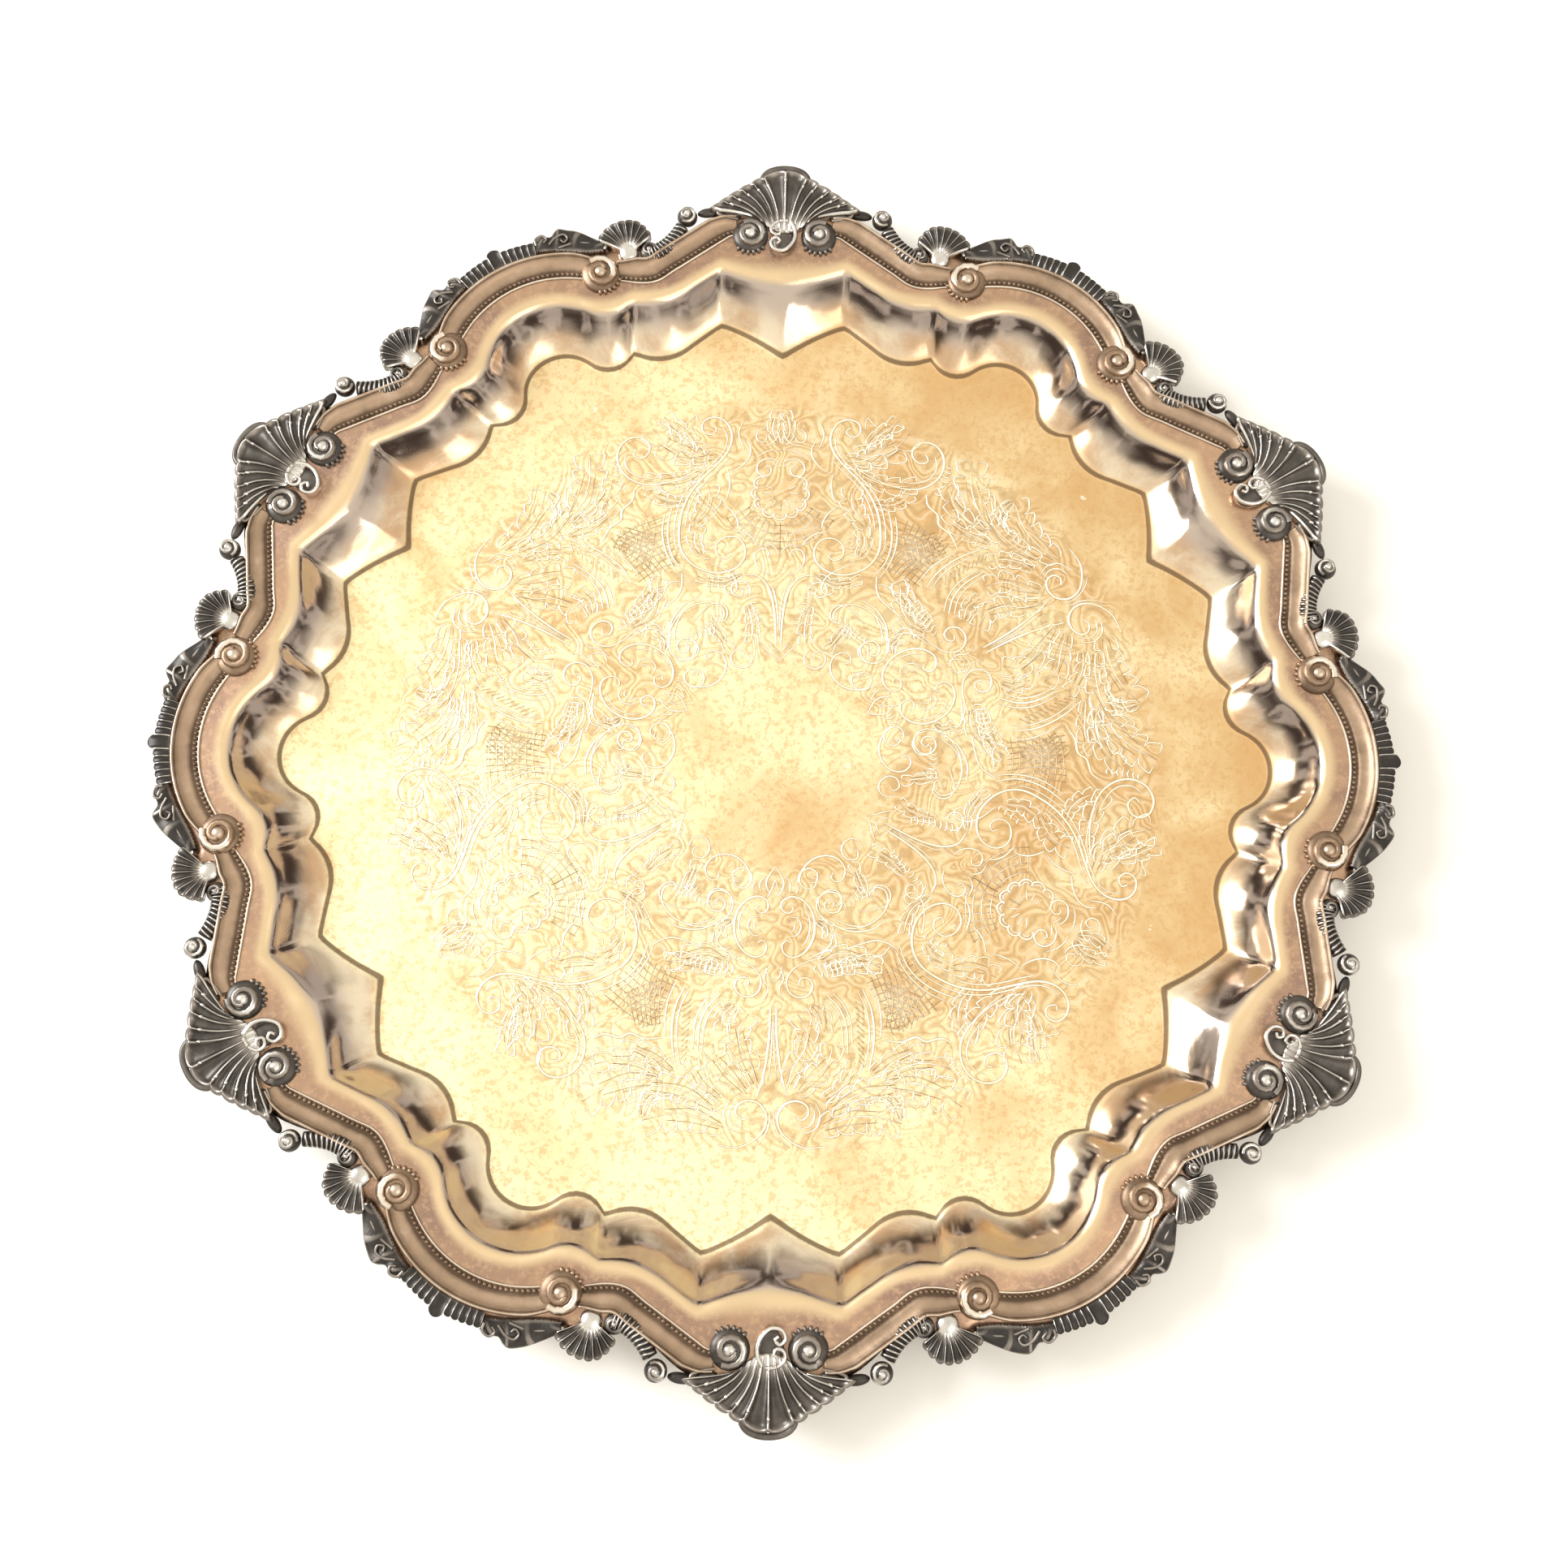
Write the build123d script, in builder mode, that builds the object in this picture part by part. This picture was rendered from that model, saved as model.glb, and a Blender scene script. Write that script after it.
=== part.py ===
from build123d import *
import os
from math import atan2, cos, degrees, radians, sin

# Shaped silver salver: a raised sheet with an applied cast border of six like sectors.
# Lengths are in millimetres and angles in degrees. The tray stands on z = 0, +Z is up, and
# the shell of the first sector points along +Y. Each sector is mirrored about its shell's
# axis, so every outline is drawn once, from that axis to the middle of the next arc.

# Overall sizes
across_shells = 381.0
well_depth = 12.9
sheet = 1.2
seam = 0.2

# Sectors
sectors = 6
sector_turn = 360 / sectors
half_turn = sector_turn / 2
shell_tip = across_shells / 2
flange_top = sheet + well_depth

# Fluted wall: each point is an inset from the shell tips and a turn from the shell's axis
floor_cusp, floor_brace, floor_corner = (59.8, 0.0), (52.5, 4.2), (47.1, 7.9)
floor_run, floor_lobe, floor_valley = (52.9, 12.2), (55.2, 16.1), (50.1, 19.8)
floor_swell, floor_shoulder = (53.7, 22.5), (48.3, 25.7)
floor_arch, floor_crown = (43.5, 27.5), (41.8, half_turn)
top_middle, top_brace, top_corner = (35.5, 0.0), (34.4, 3.7), (30.6, 7.1)
top_run, top_lobe, top_valley = (35.5, 10.8), (37.8, 14.6), (36.3, 18.0)
top_swell, top_shoulder = (37.4, 20.2), (35.0, 22.9)
top_arch, top_crown = (28.8, 26.2), (26.7, half_turn)
floor_points = (floor_cusp, floor_brace, floor_corner, floor_run, floor_lobe, floor_valley,
                floor_swell, floor_shoulder, floor_arch, floor_crown)
top_points = (top_middle, top_brace, top_corner, top_run, top_lobe, top_valley,
              top_swell, top_shoulder, top_arch, top_crown)
wall_steps = ((0.0, 0.0), (0.1, 0.04), (0.24, 0.17), (0.78, 0.86), (0.91, 0.97), (1.0, 1.0))
wall_spread = 0.4

# Castings
casting_base = 1.5
base_inset = 0.2
rib_sink = 0.15
rib_rise = 0.3
casting_ceiling = 12.0
rim_wire = 0.8

# Scallop shell, with its flutes fanned about a root between two volutes
# Each flute is a turn from the shell's axis, a reach from its root and a tip radius
flutes = ((8.6, 24.6, 4.1), (24.0, 21.8, 2.2), (36.0, 22.0, 2.1), (46.5, 23.2, 2.0),
          (55.5, 24.4, 1.8), (63.0, 25.6, 1.6), (69.5, 27.0, 1.4))
tip_turn, tip_reach, tip_radius = flutes[0]
root_inset = (tip_reach - tip_radius) * cos(radians(tip_turn)) + tip_radius
flute_start = 7.0
flute_start_radius = 0.7
shell_volute_inset = 22.7
shell_volute_side = 10.8
shell_volute_radius = 6.0
tongue_inset = 24.0
tongue_length = 11.0
tongue_width = 6.4
tongue_scroll_side = 2.3
tongue_scroll_radius = 2.1

# Fan, small scroll, ribbed tail and knob, drawn about the fan's root
fan_inset = 23.1
fan_turn = 16.9
fan_reach = 10.9
fan_ribs = 8
fan_first_rib = 46.0
fan_last_rib = 146.0
fan_rib_radius = 1.2
fan_root_radius = 4.0
scroll_place = (-6.5, -0.9)
scroll_radius = 3.2
knob_place = (-20.9, 7.6)
knob_radius = 3.1
tail_middle = (-14.8, 1.6)
tail_start = (-8.0, -1.2)
tail_width = 5.2
tail_ribs = 8
tail_rib_radius = 0.6

# Arched moulding and gadroons, drawn about the arch's own centre
arch_inset = 55.5
bead_radius = 36.2
cove_width = 6.6
arch_swing = 44.5
arch_volute_swing = 45.5
arch_volute_reach = 37.4
arch_volute_radius = 6.0
gadroon_length = 5.9
gadroon_pitch = 2.35
gadroon_count = 5
crown_lobe_width = 4.4
leaf_swing = 38.0
leaf_width = 5.4
leaf_tip_width = 1.6
leaf_taper = 6.0
crown_rise = 0.3
gadroon_inner = bead_radius + cove_width + seam

# Cove moulding's section
bead_height = 1.3
bead_half_width = 0.9
cove_floor = 0.9
cove_ridge = 2.7

# Link moulding's beaded edge, from beside the shell's volute to under the arch's volute
bead_start = (16.2, 21.6)
bead_peak = (19.2, 23.0)
bead_run = (-13.0, -7.2)
bead_low = (-4.5, -9.6)
bead_end = (38.5, -53.0)

# Flange edge, hidden under the castings
flange_inset = 4.5
flank_place = (25.5, 18.0)
overhang = 2.0


def at(radius, turn):
    """Point at a radius from the salver's centre, turned clockwise from the shell's axis."""
    return (radius * sin(radians(turn)), radius * cos(radians(turn)))


def from_shell(side, inset):
    """Point beside the shell's axis, an inset in from the shell's tip."""
    return (side, shell_tip - inset)


fan_root = at(shell_tip - fan_inset, fan_turn)
arch_centre = at(shell_tip - arch_inset, half_turn)


def from_fan(place):
    """Point given along the rim and outward from the fan's root."""
    along, out = place
    turn = radians(fan_turn)
    return (fan_root[0] + along * cos(turn) + out * sin(turn),
            fan_root[1] - along * sin(turn) + out * cos(turn))


def from_arch(radius, swing):
    """Point at a radius from the arch's centre, turned clockwise from the arch's middle."""
    turn = radians(half_turn + swing)
    return (arch_centre[0] + radius * sin(turn), arch_centre[1] + radius * cos(turn))


shell_root = from_shell(0, root_inset)
shell_volute = from_shell(shell_volute_side, shell_volute_inset)
arch_volute = from_arch(arch_volute_reach, -arch_volute_swing)


def fan_point(reach, angle):
    """Point on the fan at an angle from the direction along the rim."""
    return from_fan((reach * cos(radians(angle)), reach * sin(radians(angle))))


def rib_angle(step):
    """Angle of one of the fan's ribs."""
    return fan_first_rib + step * (fan_last_rib - fan_first_rib) / (fan_ribs - 1)


def rotated(point, angle):
    """Point turned clockwise about the salver's centre."""
    turn = radians(angle)
    return (point[0] * cos(turn) + point[1] * sin(turn),
            point[1] * cos(turn) - point[0] * sin(turn))


def half_outline(arcs, angle, hand):
    """Draw one half sector of a closed outline, whose spans are lines or three-point arcs."""
    spans = [[rotated((hand * x, y), angle) for x, y in span] for span in arcs]
    if hand < 0:
        spans = [span[::-1] for span in spans[::-1]]
    for span in spans:
        if len(span) == 2:
            Line(*span)
        else:
            ThreePointArc(*span)


def full_outline(arcs):
    """Closed outline from one half sector, mirrored and repeated round the salver."""
    with BuildSketch() as outline:
        with BuildLine():
            for sector in range(sectors):
                half_outline(arcs, sector * sector_turn, -1)
                half_outline(arcs, sector * sector_turn, 1)
        make_face()
    return outline.sketch


def wall_ring(blend, spread):
    """Section of the well, between the floor's edge (0) and the wall's top (1)."""
    ring = []
    for (low_inset, low_turn), (top_inset, top_turn) in zip(floor_points, top_points):
        inset = low_inset + blend * (top_inset - low_inset)
        ring.append(at(shell_tip - inset + spread, low_turn + blend * (top_turn - low_turn)))
    cusp, brace, corner, run, lobe, valley, swell, shoulder, arch, crown = ring
    return full_outline([(cusp, brace, corner), (corner, run), (run, lobe, valley),
                         (valley, swell, shoulder), (shoulder, arch, crown)])


def well(drop, spread):
    """The space inside the salver, lowered and spread to make the outside of the sheet."""
    with BuildPart() as space:
        for blend, rise in wall_steps:
            with BuildSketch(Plane.XY.offset(sheet - drop + rise * well_depth)):
                add(wall_ring(blend, spread))
        loft(ruled=True)
    return space.part


def flange_plan():
    """Outline of the sheet's edge, which the castings overhang."""
    tip = from_shell(0, flange_inset)
    flank = from_shell(*flank_place)
    knob = from_fan((knob_place[0] + 0.5, knob_place[1] - overhang))
    notch = from_fan((tail_start[0] - overhang, tail_start[1]))
    fan_near = fan_point(fan_reach - 2 * overhang, fan_last_rib)
    fan_top = fan_point(fan_reach - overhang, 95)
    fan_far = fan_point(fan_reach - overhang, fan_first_rib)
    edge_radius = gadroon_inner + gadroon_length - overhang
    leaf = from_arch(edge_radius, 1 - leaf_swing)
    arch = from_arch(edge_radius, -leaf_swing / 2)
    crown = from_arch(edge_radius, 0)
    return full_outline([(tip, flank), (flank, knob), (knob, notch), (notch, fan_near),
                         (fan_near, fan_top, fan_far), (fan_far, leaf), (leaf, arch, crown)])


def rib(start, end, start_radius, end_radius):
    """Round rib that rises and widens from one point to another and ends in a ball."""
    foot = Vector(*start, flange_top + casting_base - rib_sink)
    head = Vector(*end, flange_top + casting_base + rib_rise)
    with Locations(Plane(origin=foot, z_dir=head - foot)):
        Cone(start_radius, end_radius, (head - foot).length,
             align=(Align.CENTER, Align.CENTER, Align.MIN))
    with Locations(head):
        Sphere(end_radius)


def volute(place, radius, height):
    """Flat scroll with a round wire at its rim and an eye at its middle."""
    with Locations((*place, flange_top)):
        Cylinder(radius - rim_wire / 2, height - rim_wire,
                 align=(Align.CENTER, Align.CENTER, Align.MIN))
    with Locations((*place, flange_top + height - rim_wire)):
        Torus(radius - rim_wire, rim_wire)
        Sphere(radius / 4)
        if radius > 5 * rim_wire:
            Torus(radius / 2, rim_wire * 0.75)


def trim_back():
    """Cut a casting's back flat where it meets the flange."""
    split(bisect_by=Plane.XY.offset(flange_top), keep=Keep.TOP)


def flute_point(turn, reach):
    """Point on the shell at a turn from its axis."""
    return (shell_root[0] + reach * sin(radians(turn)),
            shell_root[1] + reach * cos(radians(turn)))


def slot_between(start, end, width):
    """Round-ended bar in plan, from one point to another."""
    middle = Vector((start[0] + end[0]) / 2, (start[1] + end[1]) / 2)
    along = Vector(end[0] - start[0], end[1] - start[1])
    with Locations(Location(middle, (0, 0, degrees(atan2(along.Y, along.X))))):
        SlotCenterToCenter(along.length, width)


def shell_plan(grow):
    """Plan of the scallop shell with its volutes, grown by a clearance or drawn in."""
    last_tip = flutes[-1][2]
    with BuildSketch() as plan:
        for hand in (1, -1):
            tips = [flute_point(hand * turn, reach - tip) for turn, reach, tip in flutes]
            with BuildLine():
                Polyline(shell_root, *tips, close=True)
            make_face()
            for (turn, reach, tip), place in zip(flutes, tips):
                with Locations(place):
                    Circle(tip + grow)
            slot_between(shell_root, tips[-1], 2 * (last_tip + grow))
            with Locations((hand * shell_volute[0], shell_volute[1])):
                Circle(shell_volute_radius + grow)
        with Locations(from_shell(0, tongue_inset)):
            Ellipse(tongue_width / 2 + grow, tongue_length / 2 + grow)
    return plan.sketch


fan_tail = ThreePointArc(from_fan(tail_start), from_fan(tail_middle), from_fan(knob_place))


def fan_plan(grow):
    """Plan of the fan with its scroll, tail and knob, grown by a clearance or drawn in."""
    with BuildSketch() as plan:
        reach = fan_reach - fan_rib_radius
        with BuildLine():
            first = fan_point(reach, fan_first_rib)
            last = fan_point(reach, fan_last_rib)
            Line(fan_root, first)
            ThreePointArc(first, fan_point(reach, (fan_first_rib + fan_last_rib) / 2), last)
            Line(last, fan_root)
        make_face()
        for step in range(fan_ribs):
            slot_between(fan_root, fan_point(reach, rib_angle(step)), 2 * (fan_rib_radius + grow))
        with Locations(fan_root):
            Circle(fan_root_radius + grow)
        with Locations(from_fan(scroll_place)):
            Circle(scroll_radius + grow)
        with Locations(from_fan(knob_place)):
            Circle(knob_radius + grow)
        SlotArc(fan_tail, tail_width + 2 * grow)
    return plan.sketch


# Sheet: floor, fluted wall and flange
with BuildPart() as tray_body:
    add(well(sheet, wall_spread))
    with BuildSketch(Plane.XY.offset(flange_top - sheet)):
        add(flange_plan())
    extrude(amount=sheet)
    add(well(0, 0), mode=Mode.SUBTRACT)
tray_body.part.label = "tray_body"


# Scallop shell casting
with BuildPart() as shell:
    with BuildSketch(Plane.XY.offset(flange_top)):
        add(shell_plan(-base_inset))
    extrude(amount=casting_base)
    for turn, reach, tip in flutes:
        for hand in (1, -1):
            rib(flute_point(hand * turn, flute_start), flute_point(hand * turn, reach - tip),
                flute_start_radius, tip)
    for hand in (1, -1):
        volute((hand * shell_volute[0], shell_volute[1]), shell_volute_radius, 4.2)
        volute(from_shell(hand * tongue_scroll_side, tongue_inset), tongue_scroll_radius, 3.4)
    trim_back()


# Fan casting, right handed
with BuildPart() as fan:
    with BuildSketch(Plane.XY.offset(flange_top)):
        add(fan_plan(-base_inset))
    extrude(amount=casting_base)
    for step in range(fan_ribs):
        rib(fan_point(fan_root_radius, rib_angle(step)),
            fan_point(fan_reach - fan_rib_radius, rib_angle(step)),
            flute_start_radius, fan_rib_radius)
    for step in range(tail_ribs):
        place = fan_tail @ (0.12 + 0.66 * step / (tail_ribs - 1))
        across = fan_tail % (0.12 + 0.66 * step / (tail_ribs - 1))
        side = Vector(-across.Y, across.X) * (tail_width / 2 - rim_wire)
        rib(tuple(place - side)[:2], tuple(place + side)[:2],
            tail_rib_radius, rim_wire)
    volute(from_fan(scroll_place), scroll_radius, 3.6)
    with Locations((*from_fan(knob_place), flange_top + casting_base)):
        Sphere(knob_radius)
    trim_back()


def cove_section(origin, along):
    """Cove with a bead on its inner edge, square to the run of the moulding."""
    outward = Vector(-along.Y, along.X)
    bead_out = (bead_half_width, bead_height - bead_half_width)
    bead_in = (-bead_half_width, bead_height - bead_half_width)
    ridge_in = (cove_width - 1.2, cove_ridge)
    ridge_out = (cove_width, cove_ridge - 0.6)
    with BuildSketch(Plane(origin=origin, x_dir=outward, z_dir=along)) as section:
        with BuildLine():
            Line((-bead_half_width, 0), bead_in)
            ThreePointArc(bead_in, (0, bead_height), bead_out)
            ThreePointArc(bead_out, (cove_width / 2, cove_floor), ridge_in)
            ThreePointArc(ridge_in, (cove_width - 0.4, cove_ridge), ridge_out)
            Polyline(ridge_out, (cove_width, 0), (-bead_half_width, 0))
        make_face()
    return section.sketch


# Link moulding, right handed, from the shell's volute to the arch's volute
with BuildPart() as link:
    with BuildLine(Plane.XY.offset(flange_top)) as bead_line:
        Spline(from_shell(*bead_start), from_shell(*bead_peak), from_fan(bead_run),
               from_fan(bead_low), from_arch(*bead_end))
    add(cove_section(bead_line.line @ 0, bead_line.line % 0))
    sweep(path=bead_line.line)
    with BuildSketch(Plane.XY.offset(flange_top)):
        add(shell_plan(seam))
        add(fan_plan(seam))
        with Locations(arch_volute):
            Circle(arch_volute_radius + seam)
    extrude(amount=casting_ceiling, mode=Mode.SUBTRACT)


# Arch moulding between two volutes that curl inward
with BuildPart() as arch:
    start = from_arch(bead_radius, -arch_swing)
    swing_turn = radians(half_turn - arch_swing)
    along = Vector(cos(swing_turn), -sin(swing_turn))
    add(cove_section((*start, flange_top), along))
    revolve(axis=Axis(arch_centre, (0, 0, -1)), revolution_arc=2 * arch_swing)
    for hand in (1, -1):
        volute(from_arch(arch_volute_reach, hand * arch_volute_swing), arch_volute_radius, 3.6)
    trim_back()


# Gadrooned edge with a leaf at each end
with BuildPart() as gadroons:
    leaf_outer = gadroon_inner + leaf_width
    leaf_tip = (gadroon_inner + leaf_tip_width, leaf_swing)
    leaf_shoulder = (leaf_outer, leaf_swing - leaf_taper)
    with BuildSketch(Plane.XY.offset(flange_top)):
        with BuildLine():
            ThreePointArc(from_arch(gadroon_inner, -leaf_swing), from_arch(gadroon_inner, 0),
                          from_arch(gadroon_inner, leaf_swing))
            Polyline(from_arch(gadroon_inner, leaf_swing), from_arch(*leaf_tip),
                     from_arch(*leaf_shoulder))
            ThreePointArc(from_arch(*leaf_shoulder), from_arch(leaf_outer, 0),
                          from_arch(leaf_outer, -leaf_shoulder[1]))
            Polyline(from_arch(leaf_outer, -leaf_shoulder[1]),
                     from_arch(leaf_tip[0], -leaf_swing), from_arch(gadroon_inner, -leaf_swing))
        make_face()
    extrude(amount=casting_base)
    pitch_swing = degrees(gadroon_pitch / (gadroon_inner + gadroon_length / 2))
    crown_swing = degrees(crown_lobe_width / 2 / (gadroon_inner + gadroon_length / 2))
    rib(from_arch(gadroon_inner + crown_lobe_width / 3, 0),
        from_arch(gadroon_inner + gadroon_length - crown_lobe_width / 2 + crown_rise, 0),
        crown_lobe_width / 3, crown_lobe_width / 2)
    for hand in (1, -1):
        for step in range(gadroon_count):
            swing = hand * (crown_swing + (step + 0.5) * pitch_swing)
            rib(from_arch(gadroon_inner + gadroon_pitch / 2, swing),
                from_arch(gadroon_inner + gadroon_length - gadroon_pitch / 2, swing),
                gadroon_pitch * 0.4, gadroon_pitch / 2)
        end_swing = crown_swing + gadroon_count * pitch_swing
        leaf_step = (leaf_swing - end_swing) / 2
        for step in range(2):
            rib(from_arch(gadroon_inner + leaf_width / 3, hand * (leaf_swing - step * leaf_step)),
                from_arch(gadroon_inner + leaf_width / 2,
                          hand * (leaf_swing - (step + 0.75) * leaf_step)),
                leaf_tip_width / 2, leaf_width * 0.45)
    with BuildSketch(Plane.XY.offset(flange_top)):
        for hand in (1, -1):
            with Locations(from_arch(arch_volute_reach, hand * arch_volute_swing)):
                Circle(arch_volute_radius + seam)
    extrude(amount=casting_ceiling, mode=Mode.SUBTRACT)
    trim_back()


# Each casting is soldered on in its place: once, or left and right handed, in every sector
os.makedirs("parts", exist_ok=True)
export_step(tray_body.part, "parts/tray_body.step")
for sector in range(sectors):
    for casting, name in ((shell, "shell_mount"), (arch, "arch_moulding"), (gadroons, "gadroon_edge")):
        with BuildPart() as placed:
            add(casting.part, rotation=(0, 0, -sector * sector_turn))
        placed.part.label = f"{name}_{sector + 1}"
        export_step(placed.part, f"parts/{placed.part.label}.step")
    for casting, name in ((fan, "fan_mount"), (link, "link_moulding")):
        for hand in (1, 2):
            with BuildPart() as placed:
                if hand == 1:
                    add(casting.part, rotation=(0, 0, -sector * sector_turn))
                else:
                    add(mirror(casting.part, about=Plane.YZ, mode=Mode.PRIVATE),
                        rotation=(0, 0, -sector * sector_turn))
            placed.part.label = f"{name}_{2 * sector + hand}"
            export_step(placed.part, f"parts/{placed.part.label}.step")
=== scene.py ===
from math import atan2, cos, degrees, hypot, pi, radians, sin, sqrt

import bmesh
import bpy
import numpy as np
from mathutils import Matrix, Vector


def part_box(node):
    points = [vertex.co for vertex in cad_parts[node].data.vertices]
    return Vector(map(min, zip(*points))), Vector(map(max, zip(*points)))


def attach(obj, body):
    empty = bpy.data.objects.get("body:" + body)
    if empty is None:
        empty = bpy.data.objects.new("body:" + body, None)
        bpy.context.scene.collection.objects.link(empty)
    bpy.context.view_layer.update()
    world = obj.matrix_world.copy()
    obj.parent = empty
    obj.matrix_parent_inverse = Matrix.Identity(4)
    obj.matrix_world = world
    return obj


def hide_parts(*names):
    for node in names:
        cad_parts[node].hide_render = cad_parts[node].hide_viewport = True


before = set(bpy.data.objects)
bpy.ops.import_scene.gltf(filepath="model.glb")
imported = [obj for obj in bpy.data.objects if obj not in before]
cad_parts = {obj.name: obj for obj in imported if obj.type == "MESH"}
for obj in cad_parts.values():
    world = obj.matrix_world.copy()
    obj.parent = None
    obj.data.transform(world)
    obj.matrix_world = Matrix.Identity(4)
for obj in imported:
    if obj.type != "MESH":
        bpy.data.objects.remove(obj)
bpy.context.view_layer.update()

# ---------------------------------------------------------------------------------------
# The tray is one disc of silver-plated copper sheet, raised to a fluted wall and flanged.
# Its floor has tarnished to a mottled gold, its wall is glossy under a brown tint, and
# nothing is fixed through it: the castings lie on the flange.
# ---------------------------------------------------------------------------------------
mm = 0.001
sectors = 6
sector_turn = 360.0 / sectors
half_turn = sector_turn / 2
shell_tip = 190.5
sheet = 1.2
flange_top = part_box("shell_mount_1")[0].z / mm
well_depth = flange_top - sheet

# Each corner is an inset from the shell tips and a turn from the shell's axis
floor_corners = ((59.8, 0.0), (52.5, 4.2), (47.1, 7.9), (52.9, 12.2), (55.2, 16.1),
                 (50.1, 19.8), (53.7, 22.5), (48.3, 25.7), (43.5, 27.5), (41.8, 30.0))
top_corners = ((35.5, 0.0), (34.4, 3.7), (30.6, 7.1), (35.5, 10.8), (37.8, 14.6),
               (36.3, 18.0), (37.4, 20.2), (35.0, 22.9), (28.8, 26.2), (26.7, 30.0))
# The flange's edge, under the castings, as radius and turn
flange_corners = ((186.0, 0.0), (174.4, 8.4), (171.5, 10.0), (163.5, 14.0), (172.0, 15.8),
                  (174.5, 17.5), (171.5, 19.6), (174.5, 21.0), (180.0, 25.5), (181.9, 30.0))
# The wall from foot to shoulder, as a part of its run and a part of its rise
wall_section = ((0.0, 0.0), (0.03, 0.004), (0.07, 0.018), (0.12, 0.042), (0.18, 0.078),
                (0.25, 0.13), (0.33, 0.20), (0.42, 0.29), (0.51, 0.39), (0.60, 0.505),
                (0.68, 0.62), (0.755, 0.74), (0.82, 0.85), (0.87, 0.92), (0.915, 0.963),
                (0.96, 0.99), (1.02, 1.0))
floor_steps = (0.0, 0.3, 0.55, 0.72, 0.83, 0.9, 0.945, 0.972, 0.988)
flange_steps = (0.12, 0.3, 0.55, 0.8, 1.0)
cusp_steps, run_steps, lobe_steps, swell_steps, arch_steps = 12, 6, 10, 8, 10


def at(radius, turn):
    """Point at a radius from the salver's centre, turned clockwise from the shell's axis."""
    return Vector((radius * sin(radians(turn)), radius * cos(radians(turn))))


def arc_points(start, through, end, steps):
    """Points along the arc through three points, leaving out the last."""
    ax, ay = through - start
    bx, by = end - start
    twice = 2 * (ax * by - ay * bx)
    a2, b2 = ax * ax + ay * ay, bx * bx + by * by
    centre = start + Vector((by * a2 - ay * b2, ax * b2 - bx * a2)) / twice
    radius = (start - centre).length
    first = atan2(start.y - centre.y, start.x - centre.x)
    sweep = atan2(end.y - centre.y, end.x - centre.x) - first
    if twice < 0:
        sweep = sweep if sweep < 0 else sweep - 2 * pi
    else:
        sweep = sweep if sweep > 0 else sweep + 2 * pi
    return [centre + radius * Vector((cos(first + sweep * step / steps),
                                      sin(first + sweep * step / steps)))
            for step in range(steps)]


def turned(point, angle):
    """Point turned clockwise about the salver's centre."""
    turn = radians(angle)
    return Vector((point[0] * cos(turn) + point[1] * sin(turn),
                   point[1] * cos(turn) - point[0] * sin(turn)))


def wall_ring(blend):
    """The well's outline at one level, between the floor's edge and the wall's top."""
    ring = []
    for (low_inset, low_turn), (top_inset, top_turn) in zip(floor_corners, top_corners):
        inset = low_inset + blend * (top_inset - low_inset)
        ring.append(at(shell_tip - inset, low_turn + blend * (top_turn - low_turn)))
    cusp, brace, corner, run, lobe, valley, swell, shoulder, arch, crown = ring
    half = arc_points(cusp, brace, corner, cusp_steps)
    half += [corner.lerp(run, step / run_steps) for step in range(run_steps)]
    half += arc_points(run, lobe, valley, lobe_steps)
    half += arc_points(valley, swell, shoulder, swell_steps)
    half += arc_points(shoulder, arch, crown, arch_steps)
    other = [Vector((-p.x, p.y)) for p in half[1:] + [crown]][::-1]
    return [turned(p, sector * sector_turn) for sector in range(sectors) for p in other + half]


def flange_radius(turn):
    """Radius of the flange's edge at a turn from the nearest shell's axis."""
    turn = abs((turn + half_turn) % sector_turn - half_turn)
    for (near, low), (far, high) in zip(flange_corners, flange_corners[1:]):
        if turn <= high:
            return near + (far - near) * (turn - low) / (high - low)
    return flange_corners[-1][0]


def laid_grid(across, along, place, tone=None):
    """A grid of faces laid to shape: place gives a point from its two parts of the grid.
    Where a casting's tarnish follows its shape, tone gives how worn bright each point is."""
    laid = bmesh.new()
    bmesh.ops.create_grid(laid, x_segments=across, y_segments=along, size=0.5)
    worn = laid.verts.layers.float.new("tone") if tone else None
    for corner in laid.verts:
        first, second = corner.co.x + 0.5, corner.co.y + 0.5
        corner.co = place(first, second)
        if tone:
            corner[worn] = tone(first, second)
    return laid


def add_node(tree, kind, sockets=None, **settings):
    """A shader node with its settings, and with values or links on its sockets."""
    made = tree.nodes.new(kind)
    for name, value in settings.items():
        setattr(made, name, value)
    for name, value in (sockets or {}).items():
        if isinstance(value, bpy.types.NodeSocket):
            tree.links.new(value, made.inputs[name])
        else:
            made.inputs[name].default_value = value
    return made


def mixed(tree, part, low, high):
    """One colour or number shading into another."""
    plain = isinstance(low, (int, float)) or getattr(low, "type", "") == "VALUE"
    made = tree.nodes.new("ShaderNodeMix")
    made.data_type = "FLOAT" if plain else "RGBA"
    first = 2 if plain else 6
    for place, value in ((0, part), (first, low), (first + 1, high)):
        if isinstance(value, bpy.types.NodeSocket):
            tree.links.new(value, made.inputs[place])
        else:
            made.inputs[place].default_value = value
    return made.outputs[0 if plain else 2]


def stepped(tree, value, low, high, start=0.0, end=1.0):
    """A number that runs from start to end while another runs from low to high."""
    made = add_node(tree, "ShaderNodeMapRange", {
        "Value": value, "From Min": low, "From Max": high, "To Min": start, "To Max": end},
        interpolation_type="SMOOTHSTEP")
    return made.outputs["Result"]


def multiplied(tree, value, factor, added=0.0):
    """A number times another, with a third added."""
    return add_node(tree, "ShaderNodeMath", {0: value, 1: factor, 2: added},
                    operation="MULTIPLY_ADD").outputs[0]


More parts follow.
